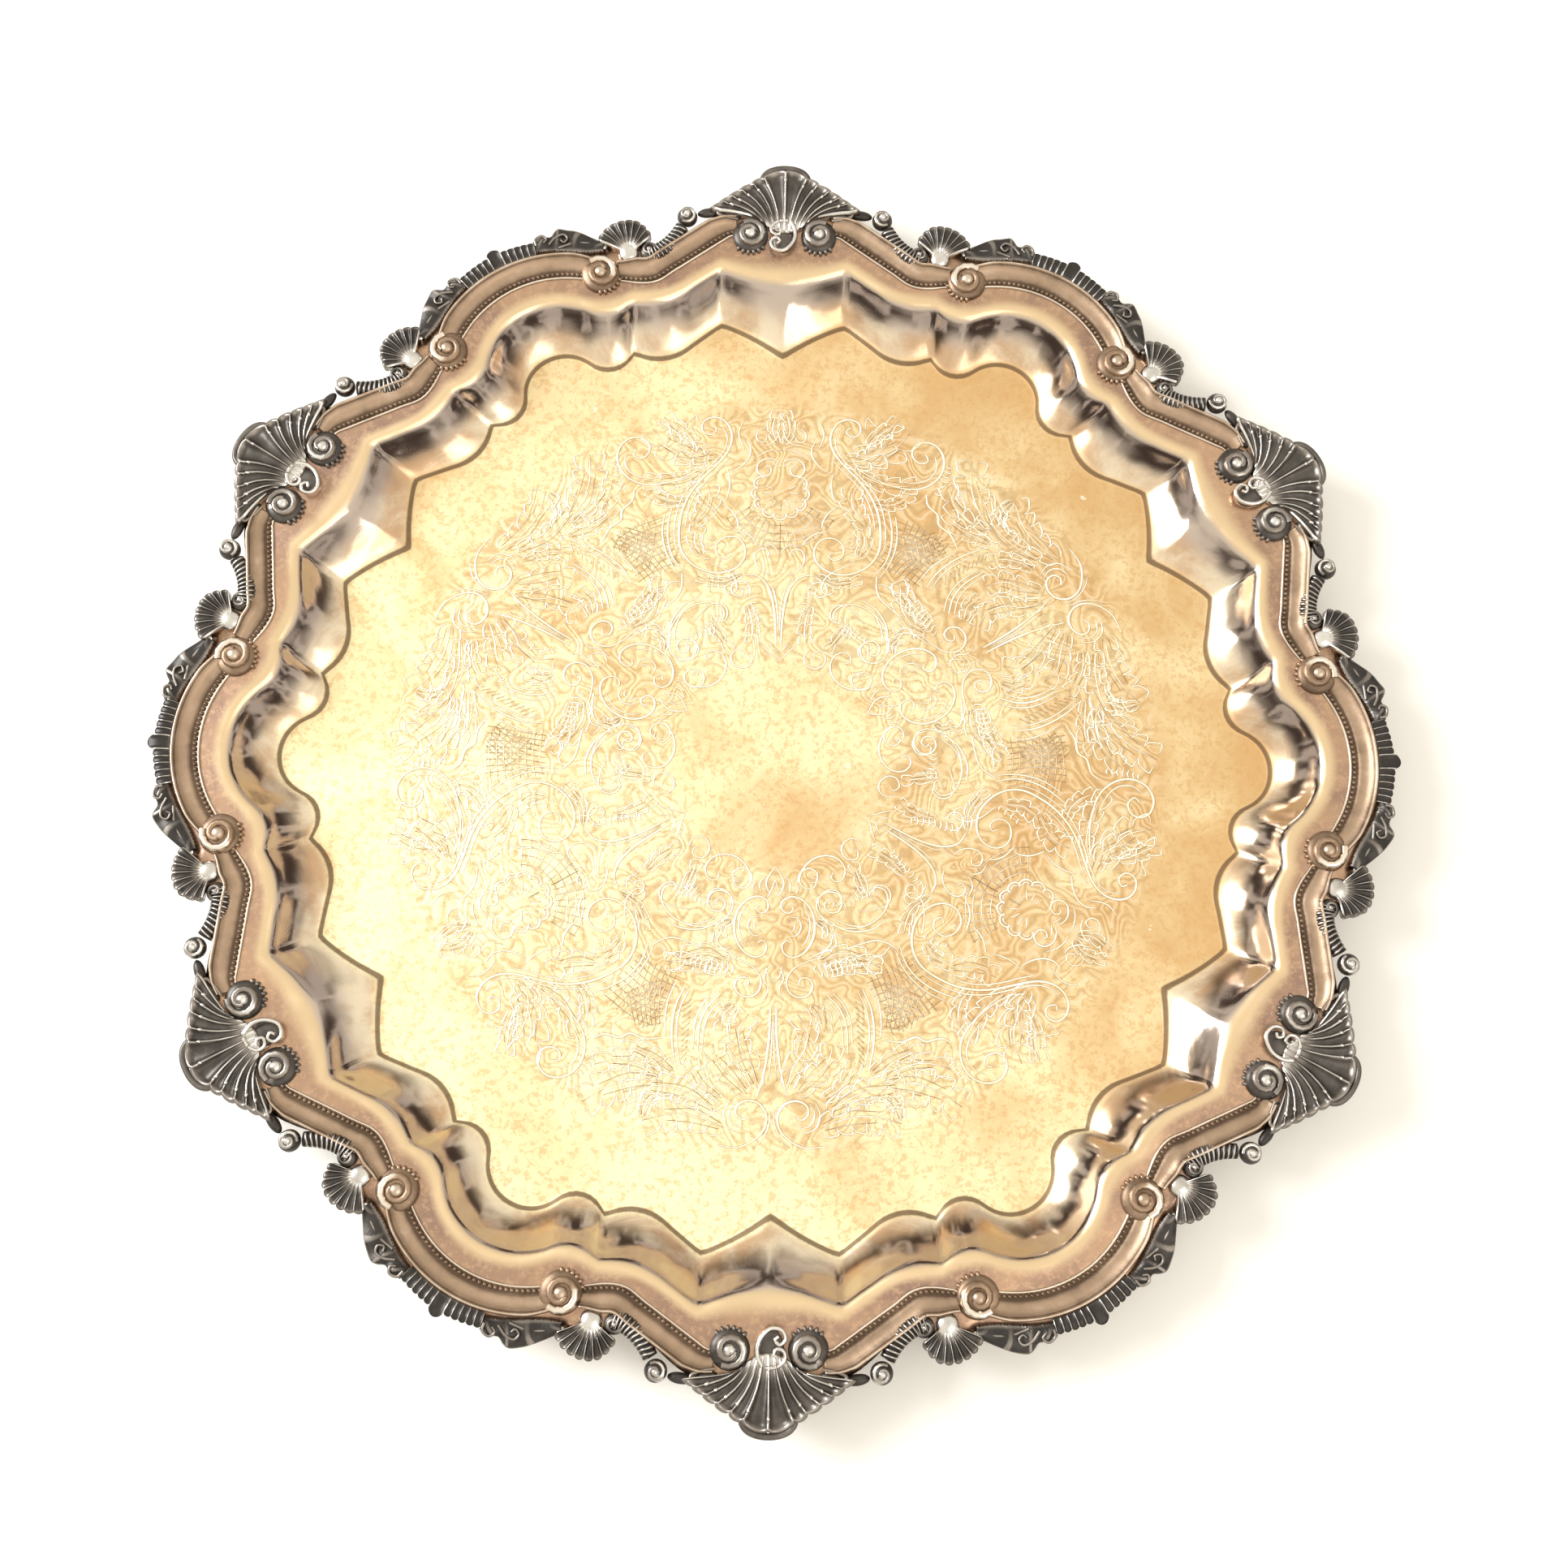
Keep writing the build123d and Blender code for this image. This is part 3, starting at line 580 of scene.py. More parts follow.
# The spandrel between a medallion and a cartouche, drawn about the line half way between
spandrel = [
    stroke(0.60, [(-10.6, 110.0), (-9.0, 108.5), (-10.8, 106.5), (-13.9, 107.3), (-15.1, 110.2),
                  (-13.4, 113.2), (-9.6, 114.3), (-5.6, 112.4), (-3.4, 108.2), (-3.9, 103.2),
                  (-7.0, 98.8), (-12.4, 96.0), (-19.6, 94.6), (-27.0, 94.6)]),
    stroke(0.40, [(-7.6, 110.8), (-5.4, 107.6), (-5.8, 103.4), (-9.0, 99.9), (-14.4, 97.4)]),
    stroke(0.62, [(-3.8, 98.3), (-1.6, 95.6), (2.6, 94.3), (4.6, 91.7), (8.6, 91.0),
                  (11.0, 89.6), (13.2, 88.0)]),
    stroke(0.50, [(-3.6, 66.9), (-2.0, 63.8), (0.6, 61.4), (4.6, 60.2), (9.6, 59.2)]),
    stroke(0.40, [(-2.2, 64.8), (0.6, 66.0), (4.4, 65.6), (7.6, 67.4)]),
    stroke(0.54, [(-4.6, 57.6), (0.2, 57.9), (5.2, 55.8), (8.2, 53.0), (9.8, 49.8)]),
    stroke(0.40, [(-3.4, 56.0), (0.6, 56.2), (4.6, 54.2), (7.4, 51.2), (8.6, 48.6)]),
    stroke(0.50, [(12.2, 53.2), (12.4, 55.4), (15.6, 56.5), (21.0, 56.2)]),
    stroke(0.52, [(7.0, 46.4), (5.8, 45.4), (6.8, 44.0), (8.8, 44.8), (8.8, 47.2),
                  (6.2, 48.4), (3.8, 46.6), (3.9, 43.5), (6.6, 41.7), (9.8, 42.4),
                  (11.4, 45.4), (10.6, 48.8), (8.6, 51.4)]),
    stroke(0.50, [(1.6, 37.5), (2.9, 38.6), (2.4, 40.3), (0.2, 40.6), (-1.9, 38.5),
                  (-1.7, 34.8), (1.0, 32.0), (5.0, 31.0), (9.0, 32.2), (11.7, 34.8),
                  (11.4, 37.6), (8.9, 38.6), (7.1, 37.0), (8.3, 35.6)]),
    stroke(0.46, [(-7.2, 49.8), (-6.0, 48.6), (-7.6, 47.2), (-9.9, 48.8), (-10.0, 51.8),
                  (-7.4, 53.8), (-3.8, 53.2), (0.6, 51.6)]),
    stroke(0.44, [(-12.6, 66.0), (-15.4, 62.4), (-17.2, 58.2), (-16.2, 54.4), (-13.6, 54.0),
                  (-12.9, 56.2), (-14.6, 57.0)]),
    stroke(0.42, [(20.8, 107.4), (21.0, 103.8), (23.2, 101.0), (26.6, 100.2)]),
]
for row in range(8):
    spandrel.append(stroke(0.22, [(-4.6 + 2.1 * row, 88.0), (-3.4 + 1.7 * row, 78.6),
                                  (-4.6 + 1.7 * row, 70.0)]))
    spandrel.append(stroke(0.22, [(-5.0 - 0.4 * row, 70.6 + 2.2 * row),
                                  (2.0, 71.8 + 2.2 * row), (9.4, 71.0 + 2.2 * row)]))
spandrel += curled_ribs((-3.4, 110.0), (-2.0, 100.4), 7, 0.4, 2.8)
spandrel += curled_ribs((9.0, 62.6), (19.6, 60.4), 8, -0.6, 4.0)
for spine, width, lobes in (
        ([(20.0, 98.6), (13.0, 102.2), (7.0, 108.0), (3.0, 115.6)], 5.0, 7),
        ([(18.6, 97.8), (12.0, 97.4), (5.6, 99.8), (0.4, 104.6)], 3.0, 6),
        ([(-30.4, 97.8), (-24.6, 101.2), (-20.2, 106.4), (-18.6, 113.6)], 4.8, 6),
        ([(-28.0, 103.4), (-26.8, 107.8), (-25.0, 111.4), (-23.6, 115.4)], 2.6, 4),
        ([(18.0, 62.4), (12.6, 63.6), (7.6, 65.6), (2.6, 68.4)], 2.6, 5),
        ([(-1.4, 44.4), (-3.4, 47.4), (-4.4, 41.6), (-5.0, 38.0)], 1.6, 4),
        ([(13.0, 47.8), (11.4, 51.0), (13.0, 54.0)], 1.5, 3),
        ([(20.4, 110.4), (19.2, 105.6), (20.6, 101.0)], 2.2, 4)):
    spandrel += acanthus(spine, width, lobes)


def chased_line_material():
    """Chased lines: pale crests, partly polished metal and partly a painted highlight, with
    painted brown shade along their feet.
    """
    made, tree, shader, where = started_material("chased_line_silver")
    height = add_node(tree, "ShaderNodeSeparateXYZ", {"Vector": where}).outputs
    # Painted light and shade: each wire is painted pale at its crest as a lit edge and brown at
    # its feet as shade
    crest = stepped(tree, height["Z"], (sheet + 0.30 * line_rise) * mm,
                    (sheet + 0.62 * line_rise) * mm)
    patch = cloud(tree, where, 60.0, 6.0)
    painted_crest_light = mixed(tree, stepped(tree, patch, 0.35, 0.7), (1.0, 0.96, 0.82, 1),
                 (0.92, 0.80, 0.58, 1))
    tree.links.new(mixed(tree, crest, (0.34, 0.20, 0.085, 1), painted_crest_light),
                   shader.inputs["Base Color"])
    tree.links.new(stepped(tree, patch, 0.3, 0.7, 0.28, 0.45), shader.inputs["Roughness"])
    shader.inputs["Metallic"].default_value = 0.7
    return made


chased_line = chased_line_material()
mirror = Matrix.Scale(-1.0, 4, (1.0, 0.0, 0.0))
# Each motif, the turn it is drawn at before it is mirrored, and the turn of its first copy
for motif, lines, drawn_turn, first_turn in (("chased_medallion", medallion, 0.0, 0.0),
                                             ("chased_cartouche", cartouche, 0.0, sector_turn),
                                             ("chased_spandrel", spandrel, half_turn, 0.0)):
    drawn = wire_mesh(lines, line_sides)
    drawn.transform(Matrix.Rotation(-radians(drawn_turn), 4, "Z")
                    @ Matrix.Translation((0, 0, sheet * mm))
                    @ Matrix.Diagonal((mm, mm, line_rise / line_radius * mm, 1.0)))
    other = drawn.copy()
    other.transform(mirror)
    other.flip_normals()
    both = bmesh.new()
    both.from_mesh(drawn)
    both.from_mesh(other)
    pair = bpy.data.meshes.new(motif)
    both.to_mesh(pair)
    both.free()
    for copy in range(chased_repeats):
        placed = pair.copy()
        turn = first_turn + 360.0 / chased_repeats * copy
        placed.transform(Matrix.Rotation(-radians(turn), 4, "Z"))
        finished(placed, f"{motif}_{copy + 1}", chased_line)

# ---------------------------------------------------------------------------------------
# Scallop shells: six silver castings at the salver's points, soft-soldered to the flange.
# Each has twelve hollow flutes with a rolled lip, a volute on either side of its root and
# a small double scroll between them. Crests are polished bright, hollows are near black.
# ---------------------------------------------------------------------------------------
# Right half: where the ridges between flutes meet the rim, and each flute's lip and depth
ridge_tips = ((0.0, 187.9), (7.1, 185.4), (10.6, 183.4), (14.4, 181.2), (17.7, 179.0),
              (20.6, 177.0), (23.6, 174.9))
lip_bows = (2.1, 1.4, 1.2, 1.0, 0.85, 0.7)
flute_depths = (1.5, 1.0, 1.0, 0.95, 0.85, 0.7)
root_half = 8.6
volute_place = (10.8, 167.8)
volute_radius = 5.5


def eased(value, low, high):
    """Smooth step from 0 to 1."""
    part = min(1.0, max(0.0, (value - low) / (high - low)))
    return part * part * (3 - 2 * part)


def shell_point(across, out):
    """Plan of the shell at a part of the way over its flutes, and along them from the root."""
    hand = 1 if across >= 0 else -1
    count = len(lip_bows)
    flute = min(count - 1, int(abs(across) * count))
    over = abs(across) * count - flute
    tip = Vector(ridge_tips[flute]).lerp(Vector(ridge_tips[flute + 1]), over)
    beside = 2 * over - 1
    outward = (tip - Vector((0.0, 164.0))).normalized()
    tip += outward * lip_bows[flute] * sqrt(max(0.0, 1 - 0.97 * beside * beside))
    root = Vector((root_half * abs(across), 168.6 + 4.6 * across * across))
    bend = Vector((root.x + 0.22 * (tip.x - root.x), root.y + 0.62 * (tip.y - root.y)))
    place = (1 - out) ** 2 * root + 2 * out * (1 - out) * bend + out * out * tip
    return Vector((hand * place.x, place.y)), beside, flute


def shell_back(out):
    """How the shell's back swells and falls, along it from the root."""
    return sin(pi * 0.56 * out ** 0.9)


def shell_place(along, out):
    """A point of the shell's upper face."""
    place, beside, flute = shell_point(2 * along - 1, out)
    hollow = (0.15 + 1.25 * out) * (1 - 0.6 * eased(out, 0.84, 1.0)) * flute_depths[flute]
    rise = 1.5 + 2.6 * shell_back(out)
    rise += hollow * (abs(beside) ** 2.6 - 0.6)
    rise += 0.75 * eased(out, 0.86, 0.94) * (1 - eased(out, 0.95, 1.0) * 1.3)
    return (place.x * mm, place.y * mm, (flange_top + rise) * mm)


def shell_tone(along, out):
    """How bright the shell is worn: dark hollows, bright ridges, roots and lips."""
    _, beside, _ = shell_point(2 * along - 1, out)
    ridge = eased(abs(beside), 0.80, 0.98)
    root = 0.55 * (1 - eased(out, 0.04, 0.34))
    lip = 0.55 * eased(out, 0.87, 0.93) * (1 - eased(out, 0.95, 1.0))
    return 0.27 + max(root, 0.56 * ridge * (1 - 0.5 * eased(out, 0.9, 1.0)), 0.7 * lip)


def closed_back(laid, level):
    """Gives a laid face sides down to a flat back, as a casting has."""
    edges = [edge for edge in laid.edges if edge.is_boundary]
    dropped = bmesh.ops.extrude_edge_only(laid, edges=edges)["geom"]
    for part in dropped:
        if isinstance(part, bmesh.types.BMVert):
            part.co.z = level * mm
    bmesh.ops.holes_fill(laid, edges=[e for e in dropped if isinstance(e, bmesh.types.BMEdge)
                                      and e.is_boundary])
    bmesh.ops.recalc_face_normals(laid, faces=laid.faces)
    return laid


def add_wires(built, lines, sides=2, tone=0.0):
    """Adds round wires, drawn in millimetres, to a casting."""
    drawn = wire_mesh(lines, sides)
    drawn.transform(Matrix.Scale(mm, 4))
    before = len(built.verts)
    built.from_mesh(drawn)
    built.verts.ensure_lookup_table()
    worn = built.verts.layers.float.get("tone")
    if worn:
        for corner in built.verts[before:]:
            corner[worn] = tone


def raised_line(points, radius, lift, end_radius=None):
    """A wire of a casting through points in plan, lying at a height on the flange."""
    line = smooth_line(points)
    last = len(line) - 1
    end_radius = radius if end_radius is None else end_radius
    if isinstance(lift, (int, float)):
        lift = (lift, lift)
    return [((p.x, p.y, flange_top + lift[0] + (lift[1] - lift[0]) * k / last),
             radius + (end_radius - radius) * k / last) for k, p in enumerate(line)]


def spiral_line(centre, radius, start, turns, wire, lift, eye):
    """A wire that winds in to a volute's eye; turns are counter-clockwise if positive."""
    steps = 16 * max(1, round(abs(turns)))
    line = []
    for step in range(steps + 1):
        part = step / steps
        angle = radians(start) + 2 * pi * turns * part
        reach = radius * (1 - part) ** 0.8 + eye * part
        line.append(((centre[0] + reach * cos(angle), centre[1] + reach * sin(angle),
                      flange_top + lift + 0.9 * part), wire * (1 - 0.35 * part)))
    return line


def add_dome(built, centre, radius, height, base=0.0, segments=20, rings=10, squash=1.0,
             turn=0.0, tone=0.0):
    """Adds a rounded boss that stands on the flange."""
    worn = built.verts.layers.float.get("tone")
    made = bmesh.ops.create_uvsphere(built, u_segments=segments, v_segments=rings, radius=1.0)
    place = Matrix.Translation((centre[0] * mm, centre[1] * mm, (flange_top + base) * mm))
    shape = Matrix.Diagonal((radius * mm, radius * squash * mm, height * mm, 1.0))
    bmesh.ops.transform(built, verts=made["verts"],
                        matrix=place @ Matrix.Rotation(radians(turn), 4, "Z") @ shape)
    for corner in made["verts"]:
        corner.co.z = max(corner.co.z, flange_top * mm)
        if worn:
            corner[worn] = tone


def add_volute(built, centre, radius, start, hand, worn=0.60):
    """Adds a volute: a domed disc, a wire wound on it and a round eye."""
    add_dome(built, centre, radius * 1.02, 1.9, 0.4, 32, 14, tone=0.26)
    add_wires(built, [spiral_line(centre, radius * 0.80, start, hand * 1.3,
                                  radius * 0.22, 1.6, radius * 0.26)], 3, worn)
    add_dome(built, centre, radius * 0.34, 1.5, 2.2, 18, 10, tone=worn + 0.25)


def polished(built, name, reach=1.5):
    """The casting's mesh, storing how far each point stands above its surroundings."""
    bmesh.ops.recalc_face_normals(built, faces=built.faces)
    mesh = bpy.data.meshes.new(name)
    built.to_mesh(mesh)
    built.free()
    places = np.empty(len(mesh.vertices) * 3)
    mesh.vertices.foreach_get("co", places)
    places = places.reshape(-1, 3) / mm
    cell = reach / 3
    low = places[:, :2].min(0) - 8 * cell
    cells = ((places[:, :2] - low) / cell).astype(int)
    height = np.full(cells.max(0) + 10, flange_top)
    np.maximum.at(height, (cells[:, 0], cells[:, 1]), places[:, 2])
    for axis in (0, 1):
        beside = np.maximum(np.roll(height, 1, axis), np.roll(height, -1, axis))
        height = np.maximum(height, beside)
    near = height
    for _ in range(2):
        for axis in (0, 1):
            near = sum(np.roll(near, step, axis) for step in range(-3, 4)) / 7
    stand = places[:, 2] - near[cells[:, 0], cells[:, 1]]
    bright = np.clip(0.62 + stand / 1.9, 0.0, 1.0)
    if "tone" in mesh.attributes:
        tone = np.empty(len(mesh.vertices), np.float32)
        mesh.attributes["tone"].data.foreach_get("value", tone)
        bright = np.where(tone > 0, tone, bright)
        mesh.attributes.remove(mesh.attributes["tone"])
    crest = mesh.attributes.new("crest", "FLOAT", "POINT")
    crest.data.foreach_set("value", bright.astype(np.float32))
    return mesh


def cast_silver_material(name, hollow, middle, high, gloss, mottle):
    """Cast silver: dark tarnish in the hollows, bright metal on the crests."""
    made, tree, shader, where = started_material(name)
    crest = add_node(tree, "ShaderNodeAttribute", attribute_name="crest").outputs["Fac"]
    patch = cloud(tree, where, 120.0, 6.0, 0.65)
    grain = cloud(tree, where, 700.0, 4.0)
    level = multiplied(tree, patch, mottle, crest)
    low = stepped(tree, level, 0.35, 0.85)
    top = stepped(tree, level, 0.80, 1.15)
    colour = mixed(tree, top, mixed(tree, low, hollow, middle), high)
    tree.links.new(colour, shader.inputs["Base Color"])
    tree.links.new(mixed(tree, low, 0.55, 1.0), shader.inputs["Metallic"])
    tree.links.new(mixed(tree, top, stepped(tree, patch, 0.3, 0.7, gloss + 0.12, gloss + 0.26),
                         gloss), shader.inputs["Roughness"])
    bump = add_node(tree, "ShaderNodeBump", {
        "Strength": 0.3, "Distance": 0.00012, "Height": grain})
    dents = add_node(tree, "ShaderNodeBump", {
        "Strength": 0.35, "Distance": 0.0003, "Height": cloud(tree, where, 220.0, 3.0),
        "Normal": bump.outputs["Normal"]})
    tree.links.new(dents.outputs["Normal"], shader.inputs["Normal"])
    return made


def add_pearls(built, centre, reach, first, pitch):
    """Adds the row of six small pearls that runs round the outside of a volute."""
    for step in range(6):
        angle = radians(first + pitch * step)
        rim = centre + Vector((cos(angle), sin(angle))) * reach
        add_dome(built, rim, 0.95, 0.8, 0.3, 8, 6, 0.7, degrees(angle), 0.45)


def add_part(built, part):
    """Adds a part that was built on its own to a casting."""
    mesh = bpy.data.meshes.new("part")
    part.to_mesh(mesh)
    part.free()
    built.from_mesh(mesh)
    bpy.data.meshes.remove(mesh)


def set_round(mesh, name, node, material, hands=(1,)):
    """Sets a casting's copies in all sectors, mirrored for the left hand."""
    for sector in range(sectors):
        for place, hand in enumerate(hands, 1):
            number = len(hands) * sector + place
            placed = mesh.copy()
            if hand < 0:
                placed.transform(mirror)
                placed.flip_normals()
            placed.transform(Matrix.Rotation(-radians(sector * sector_turn), 4, "Z"))
            finished(placed, f"{name}_{number}", material, [f"{node}_{number}"])


cast_ornament = cast_silver_material("cast_ornament_silver", (0.035, 0.030, 0.027, 1),
                                     (0.30, 0.265, 0.235, 1), (0.86, 0.83, 0.79, 1), 0.20, 0.45)

shell = closed_back(laid_grid(216, 34, shell_place, shell_tone), flange_top)
for hand in (1, -1):
    # The middle ridge is drawn once
    for ridge in range(0 if hand > 0 else 1, len(lip_bows)):
        across = hand * ridge / len(lip_bows)
        line = []
        for out in (0.14, 0.3, 0.46, 0.62, 0.78):
            place = shell_point(across, out)[0]
            lift = 1.62 + 3.05 * shell_back(out)
            line.append(((place.x, place.y, flange_top + lift), 0.18 + 0.24 * out))
        add_wires(shell, [line], 1, 0.72)
        drop = shell_point(across, 0.80)[0]
        add_dome(shell, drop, 0.55, 0.65, 4.3, 10, 6, 1.6,
                 -degrees(atan2(drop.x, drop.y - 166.0)), 0.95)
    centre = Vector((hand * volute_place[0], volute_place[1]))
    add_volute(shell, centre, volute_radius, 60 if hand > 0 else 120, hand)
    add_wires(shell, [raised_line([(hand * x, y) for x, y in (
        (8.6, 174.0), (12.6, 175.7), (17.0, 177.0), (20.6, 176.8), (21.2, 174.4),
        (18.4, 173.2), (14.8, 172.6))], 0.7, (2.2, 1.9), 0.45)], 2, 0.62)
    add_dome(shell, (hand * 17.4, 175.0), 3.6, 1.5, 0.5, 16, 8, 0.42, hand * 10, 0.3)
    add_dome(shell, (hand * 24.2, 175.4), 3.6, 1.3, 0.3, 16, 8, 0.45, hand * -8, 0.22)
    add_pearls(shell, centre, volute_radius + 0.1, -135 if hand > 0 else -45, 17 * hand)
# The rolled lip over the two middle flutes
cap = [(-7.4, 184.9), (-6.9, 186.9), (-5.4, 188.5), (-2.9, 189.5), (0.0, 189.8)]
cap += [(-x, y) for x, y in cap[-2::-1]]
add_wires(shell, [raised_line(cap, 0.95, 3.1)], 2, 0.34)
add_wires(shell, [
    raised_line([(0.9, 172.3), (-2.2, 172.0), (-4.3, 170.0), (-3.9, 167.8), (-1.9, 167.3),
                 (-1.3, 168.8), (-2.4, 169.6)], 0.62, (2.0, 2.7), 0.45),
    raised_line([(1.9, 172.0), (3.3, 168.8), (2.7, 165.0), (-0.2, 162.0), (-3.4, 162.4),
                 (-4.4, 164.8), (-2.8, 166.2), (-1.5, 165.0), (-2.5, 164.0)],
                0.72, (2.0, 2.7), 0.45)], 2, 0.85)
add_dome(shell, (-0.5, 167.2), 3.6, 0.9, 0.1, 20, 8, 1.4, 0.0, 0.32)
set_round(polished(shell, "shell"), "scallop_shell", "shell_mount", cast_ornament)

# ---------------------------------------------------------------------------------------
# Fan castings: twelve, left and right handed, soldered either side of each shell. Each is a
# small ribbed fan with a scroll at its foot, and a ribbed tail that ends in a curled knob.
# ---------------------------------------------------------------------------------------
fan_turn = 16.9
fan_root = at(shell_tip - 23.1, fan_turn)
fan_reach = 10.9
fan_low, fan_high = 36.0, 158.0
fan_ribs = 8
tail_ribs = 11
tail_line = ((-5.6, -1.6), (-8.6, -1.6), (-12.0, -0.4), (-15.4, 1.8), (-18.4, 4.6))


def from_fan(place):
    """Point given along the rim and outward from the fan's root."""
    turn = radians(fan_turn)
    return Vector((fan_root.x + place[0] * cos(turn) + place[1] * sin(turn),
                   fan_root.y - place[0] * sin(turn) + place[1] * cos(turn)))


def fan_flute(across):
    """Place across the fan's flute that a point falls in, from -1 to 1."""
    return 2 * ((fan_ribs * across) % 1.0) - 1 if across < 1.0 else 1.0


def fan_place(across, out):
    """A point of the fan's upper face."""
    angle = radians(fan_low + across * (fan_high - fan_low))
    beside = fan_flute(across)
    reach = fan_reach - 1.5 * (1 - sqrt(1 - 0.97 * beside * beside))
    reach -= 1.8 * eased(across, 0.6, 1.0)
    distance = 1.0 + (reach - 1.0) * out
    rise = 1.6 + 1.9 * sin(pi * 0.62 * out) + (0.05 + 1.05 * out) * (abs(beside) ** 2.4 - 0.5)
    place = from_fan((distance * cos(angle), distance * sin(angle)))
    return (place.x * mm, place.y * mm, (flange_top + rise) * mm)


def fan_tone(across, out):
    """How bright the fan is worn: dark flutes, bright ridges and a bright foot."""
    beside = fan_flute(across)
    foot = 0.75 * (1 - eased(out, 0.12, 0.5))
    return 0.2 + max(foot, 0.6 * eased(abs(beside), 0.76, 0.98), 0.25 * eased(out, 0.86, 0.95))


def tail_ripple(along, across):
    """How far a point of the tail stands on one of its slanting ribs, from 0 to 1."""
    return abs(sin(pi * tail_ribs * (along + 0.05 * (1 - across))))


def tail_place(along, across):
    """A point of the ribbed tail's upper face."""
    line = smooth_line(tail_line, 12)
    step = min(len(line) - 2, int(along * (len(line) - 1)))
    middle = line[step].lerp(line[step + 1], along * (len(line) - 1) - step)
    direction = (line[step + 1] - line[step]).normalized()
    beside = (2 * across - 1) * (2.9 - 0.8 * along)
    place = from_fan(middle + Vector((-direction.y, direction.x)) * beside)
    rise = 0.9 + 1.8 * sqrt(max(0.0, 1 - (2 * across - 1) ** 2 * 0.92))
    rise += 0.6 * (tail_ripple(along, across) - 0.5)
    return (place.x * mm, place.y * mm, (flange_top + rise) * mm)


def tail_tone(along, across):
    """How bright the tail is worn: dark between its ribs."""
    return 0.12 + 0.6 * eased(tail_ripple(along, across), 0.72, 0.98)


fan = closed_back(laid_grid(128, 18, fan_place, fan_tone), flange_top)
add_part(fan, closed_back(laid_grid(120, 12, tail_place, tail_tone), flange_top))
knob = from_fan((-20.9, 7.6))
add_dome(fan, knob, 3.2, 2.7, 0.7, 24, 14, tone=0.22)
add_wires(fan, [spiral_line(knob, 2.6, -40 - fan_turn, -1.2, 0.62, 2.5, 0.9)], 2, 0.7)
add_dome(fan, knob, 1.2, 1.2, 3.0, 14, 8, tone=0.85)
curl = from_fan((-6.2, -0.6))
add_dome(fan, curl, 3.0, 1.8, 0.4, 20, 10, tone=0.3)
add_wires(fan, [spiral_line(curl, 2.6, -70 - fan_turn, -1.3, 0.62, 1.7, 0.6)])
add_dome(fan, curl, 0.9, 1.0, 2.2, 12, 8)
add_dome(fan, from_fan((0.2, 0.8)), 3.3, 2.0, 0.5, 20, 10, 1.1, -fan_turn, 0.8)
set_round(polished(fan, "fan"), "ribbed_fan", "fan_mount", cast_ornament,
          (1, -1))

# ---------------------------------------------------------------------------------------
# Link mouldings: twelve S-curved lengths of cast cove with a beaded lip, soldered between a
# shell's volute and the volute of the next arch. The cove is rubbed to a coppery gold.
# ---------------------------------------------------------------------------------------
arch_turn = half_turn
arch_centre = at(shell_tip - 55.5, arch_turn)
bead_pitch, bead_radius, bead_height = 1.55, 0.66, 0.62
cove_step = 0.6
cove_reach = 2.4
# Section of the cove outward from the line of the beads: distance, height and brightness
cove_section = ((-1.45, 0.0, 0.3), (-1.4, 0.45, 0.7), (-1.15, 0.6, 0.9), (-0.85, 0.45, 0.3),
                (-0.5, 0.3, 0.08), (0.5, 0.3, 0.08), (0.95, 0.3, 0.08), (1.3, 0.45, 0.2),
                (1.6, 0.75, 0.3), (2.3, 0.85, 0.42), (3.1, 1.0, 0.48), (3.9, 1.3, 0.48),
                (4.6, 1.75, 0.42), (5.1, 2.2, 0.28), (5.35, 2.3, 0.08), (5.65, 2.75, 0.45),
                (5.95, 2.95, 0.72), (6.35, 2.75, 0.4), (6.6, 2.1, 0.15), (6.7, 0.0, 0.1))


def from_arch(reach, swing):
    """Point at a reach from the arch's centre, turned clockwise from its middle."""
    turn = radians(arch_turn + swing)
    return Vector((arch_centre.x + reach * sin(turn), arch_centre.y + reach * cos(turn)))


def evenly(line, pitch):
    """Places along a line at an even pitch, each with the line's direction."""
    lengths = [0.0]
    for a, b in zip(line, line[1:]):
        lengths.append(lengths[-1] + (b - a).length)
    count = max(1, round(lengths[-1] / pitch))
    places = []
    step = 0
    for k in range(count + 1):
        target = lengths[-1] * k / count
        while step < len(line) - 2 and lengths[step + 1] < target:
            step += 1
        a, b = line[step], line[step + 1]
        part = (target - lengths[step]) / max(1e-9, lengths[step + 1] - lengths[step])
        places.append((a.lerp(b, part), (b - a).normalized()))
    return places


def cove(line, taper):
    """A length of cove moulding along a line, drawn in at its ends, with its beads."""
    places = evenly(line, cove_step)
    last = len(places) - 1

    def cove_place(along, across):
        middle, direction = places[round(along * last)]
        part = min(along, 1 - along)
        width = 1 - taper * (1 - eased(part, 0.0, 0.16))
        out, rise, _ = cove_section[round(across * (len(cove_section) - 1))]
        place = middle + Vector((-direction.y, direction.x)) * out * width
        return (place.x * mm, place.y * mm, (flange_top + rise * (0.6 + 0.4 * width)) * mm)

    def cove_tone(along, across):
        return cove_section[round(across * (len(cove_section) - 1))][2]

    built = closed_back(laid_grid(last, len(cove_section) - 1, cove_place, cove_tone),
                        flange_top)
    for middle, _ in evenly(line, bead_pitch):
        add_dome(built, middle, bead_radius, bead_height, 0.45, 8, 6, tone=0.22)
    return built


link_line = smooth_line([(14.8, 168.9), (17.4, 168.5), (20.4, 166.8),
                         tuple(from_fan((-13.0, -7.2))),
                         tuple(from_fan((-4.5, -9.6))), tuple(from_arch(38.5, -53.0))], 16)
link = cove(link_line, 0.25)
cast_moulding = cast_silver_material("cast_moulding_silver", (0.10, 0.060, 0.035, 1),
                                     (0.46, 0.325, 0.225, 1), (0.90, 0.81, 0.70, 1), 0.24, 0.62)
set_round(polished(link, "link", cove_reach), "cove_link", "link_moulding", cast_moulding,
          (1, -1))

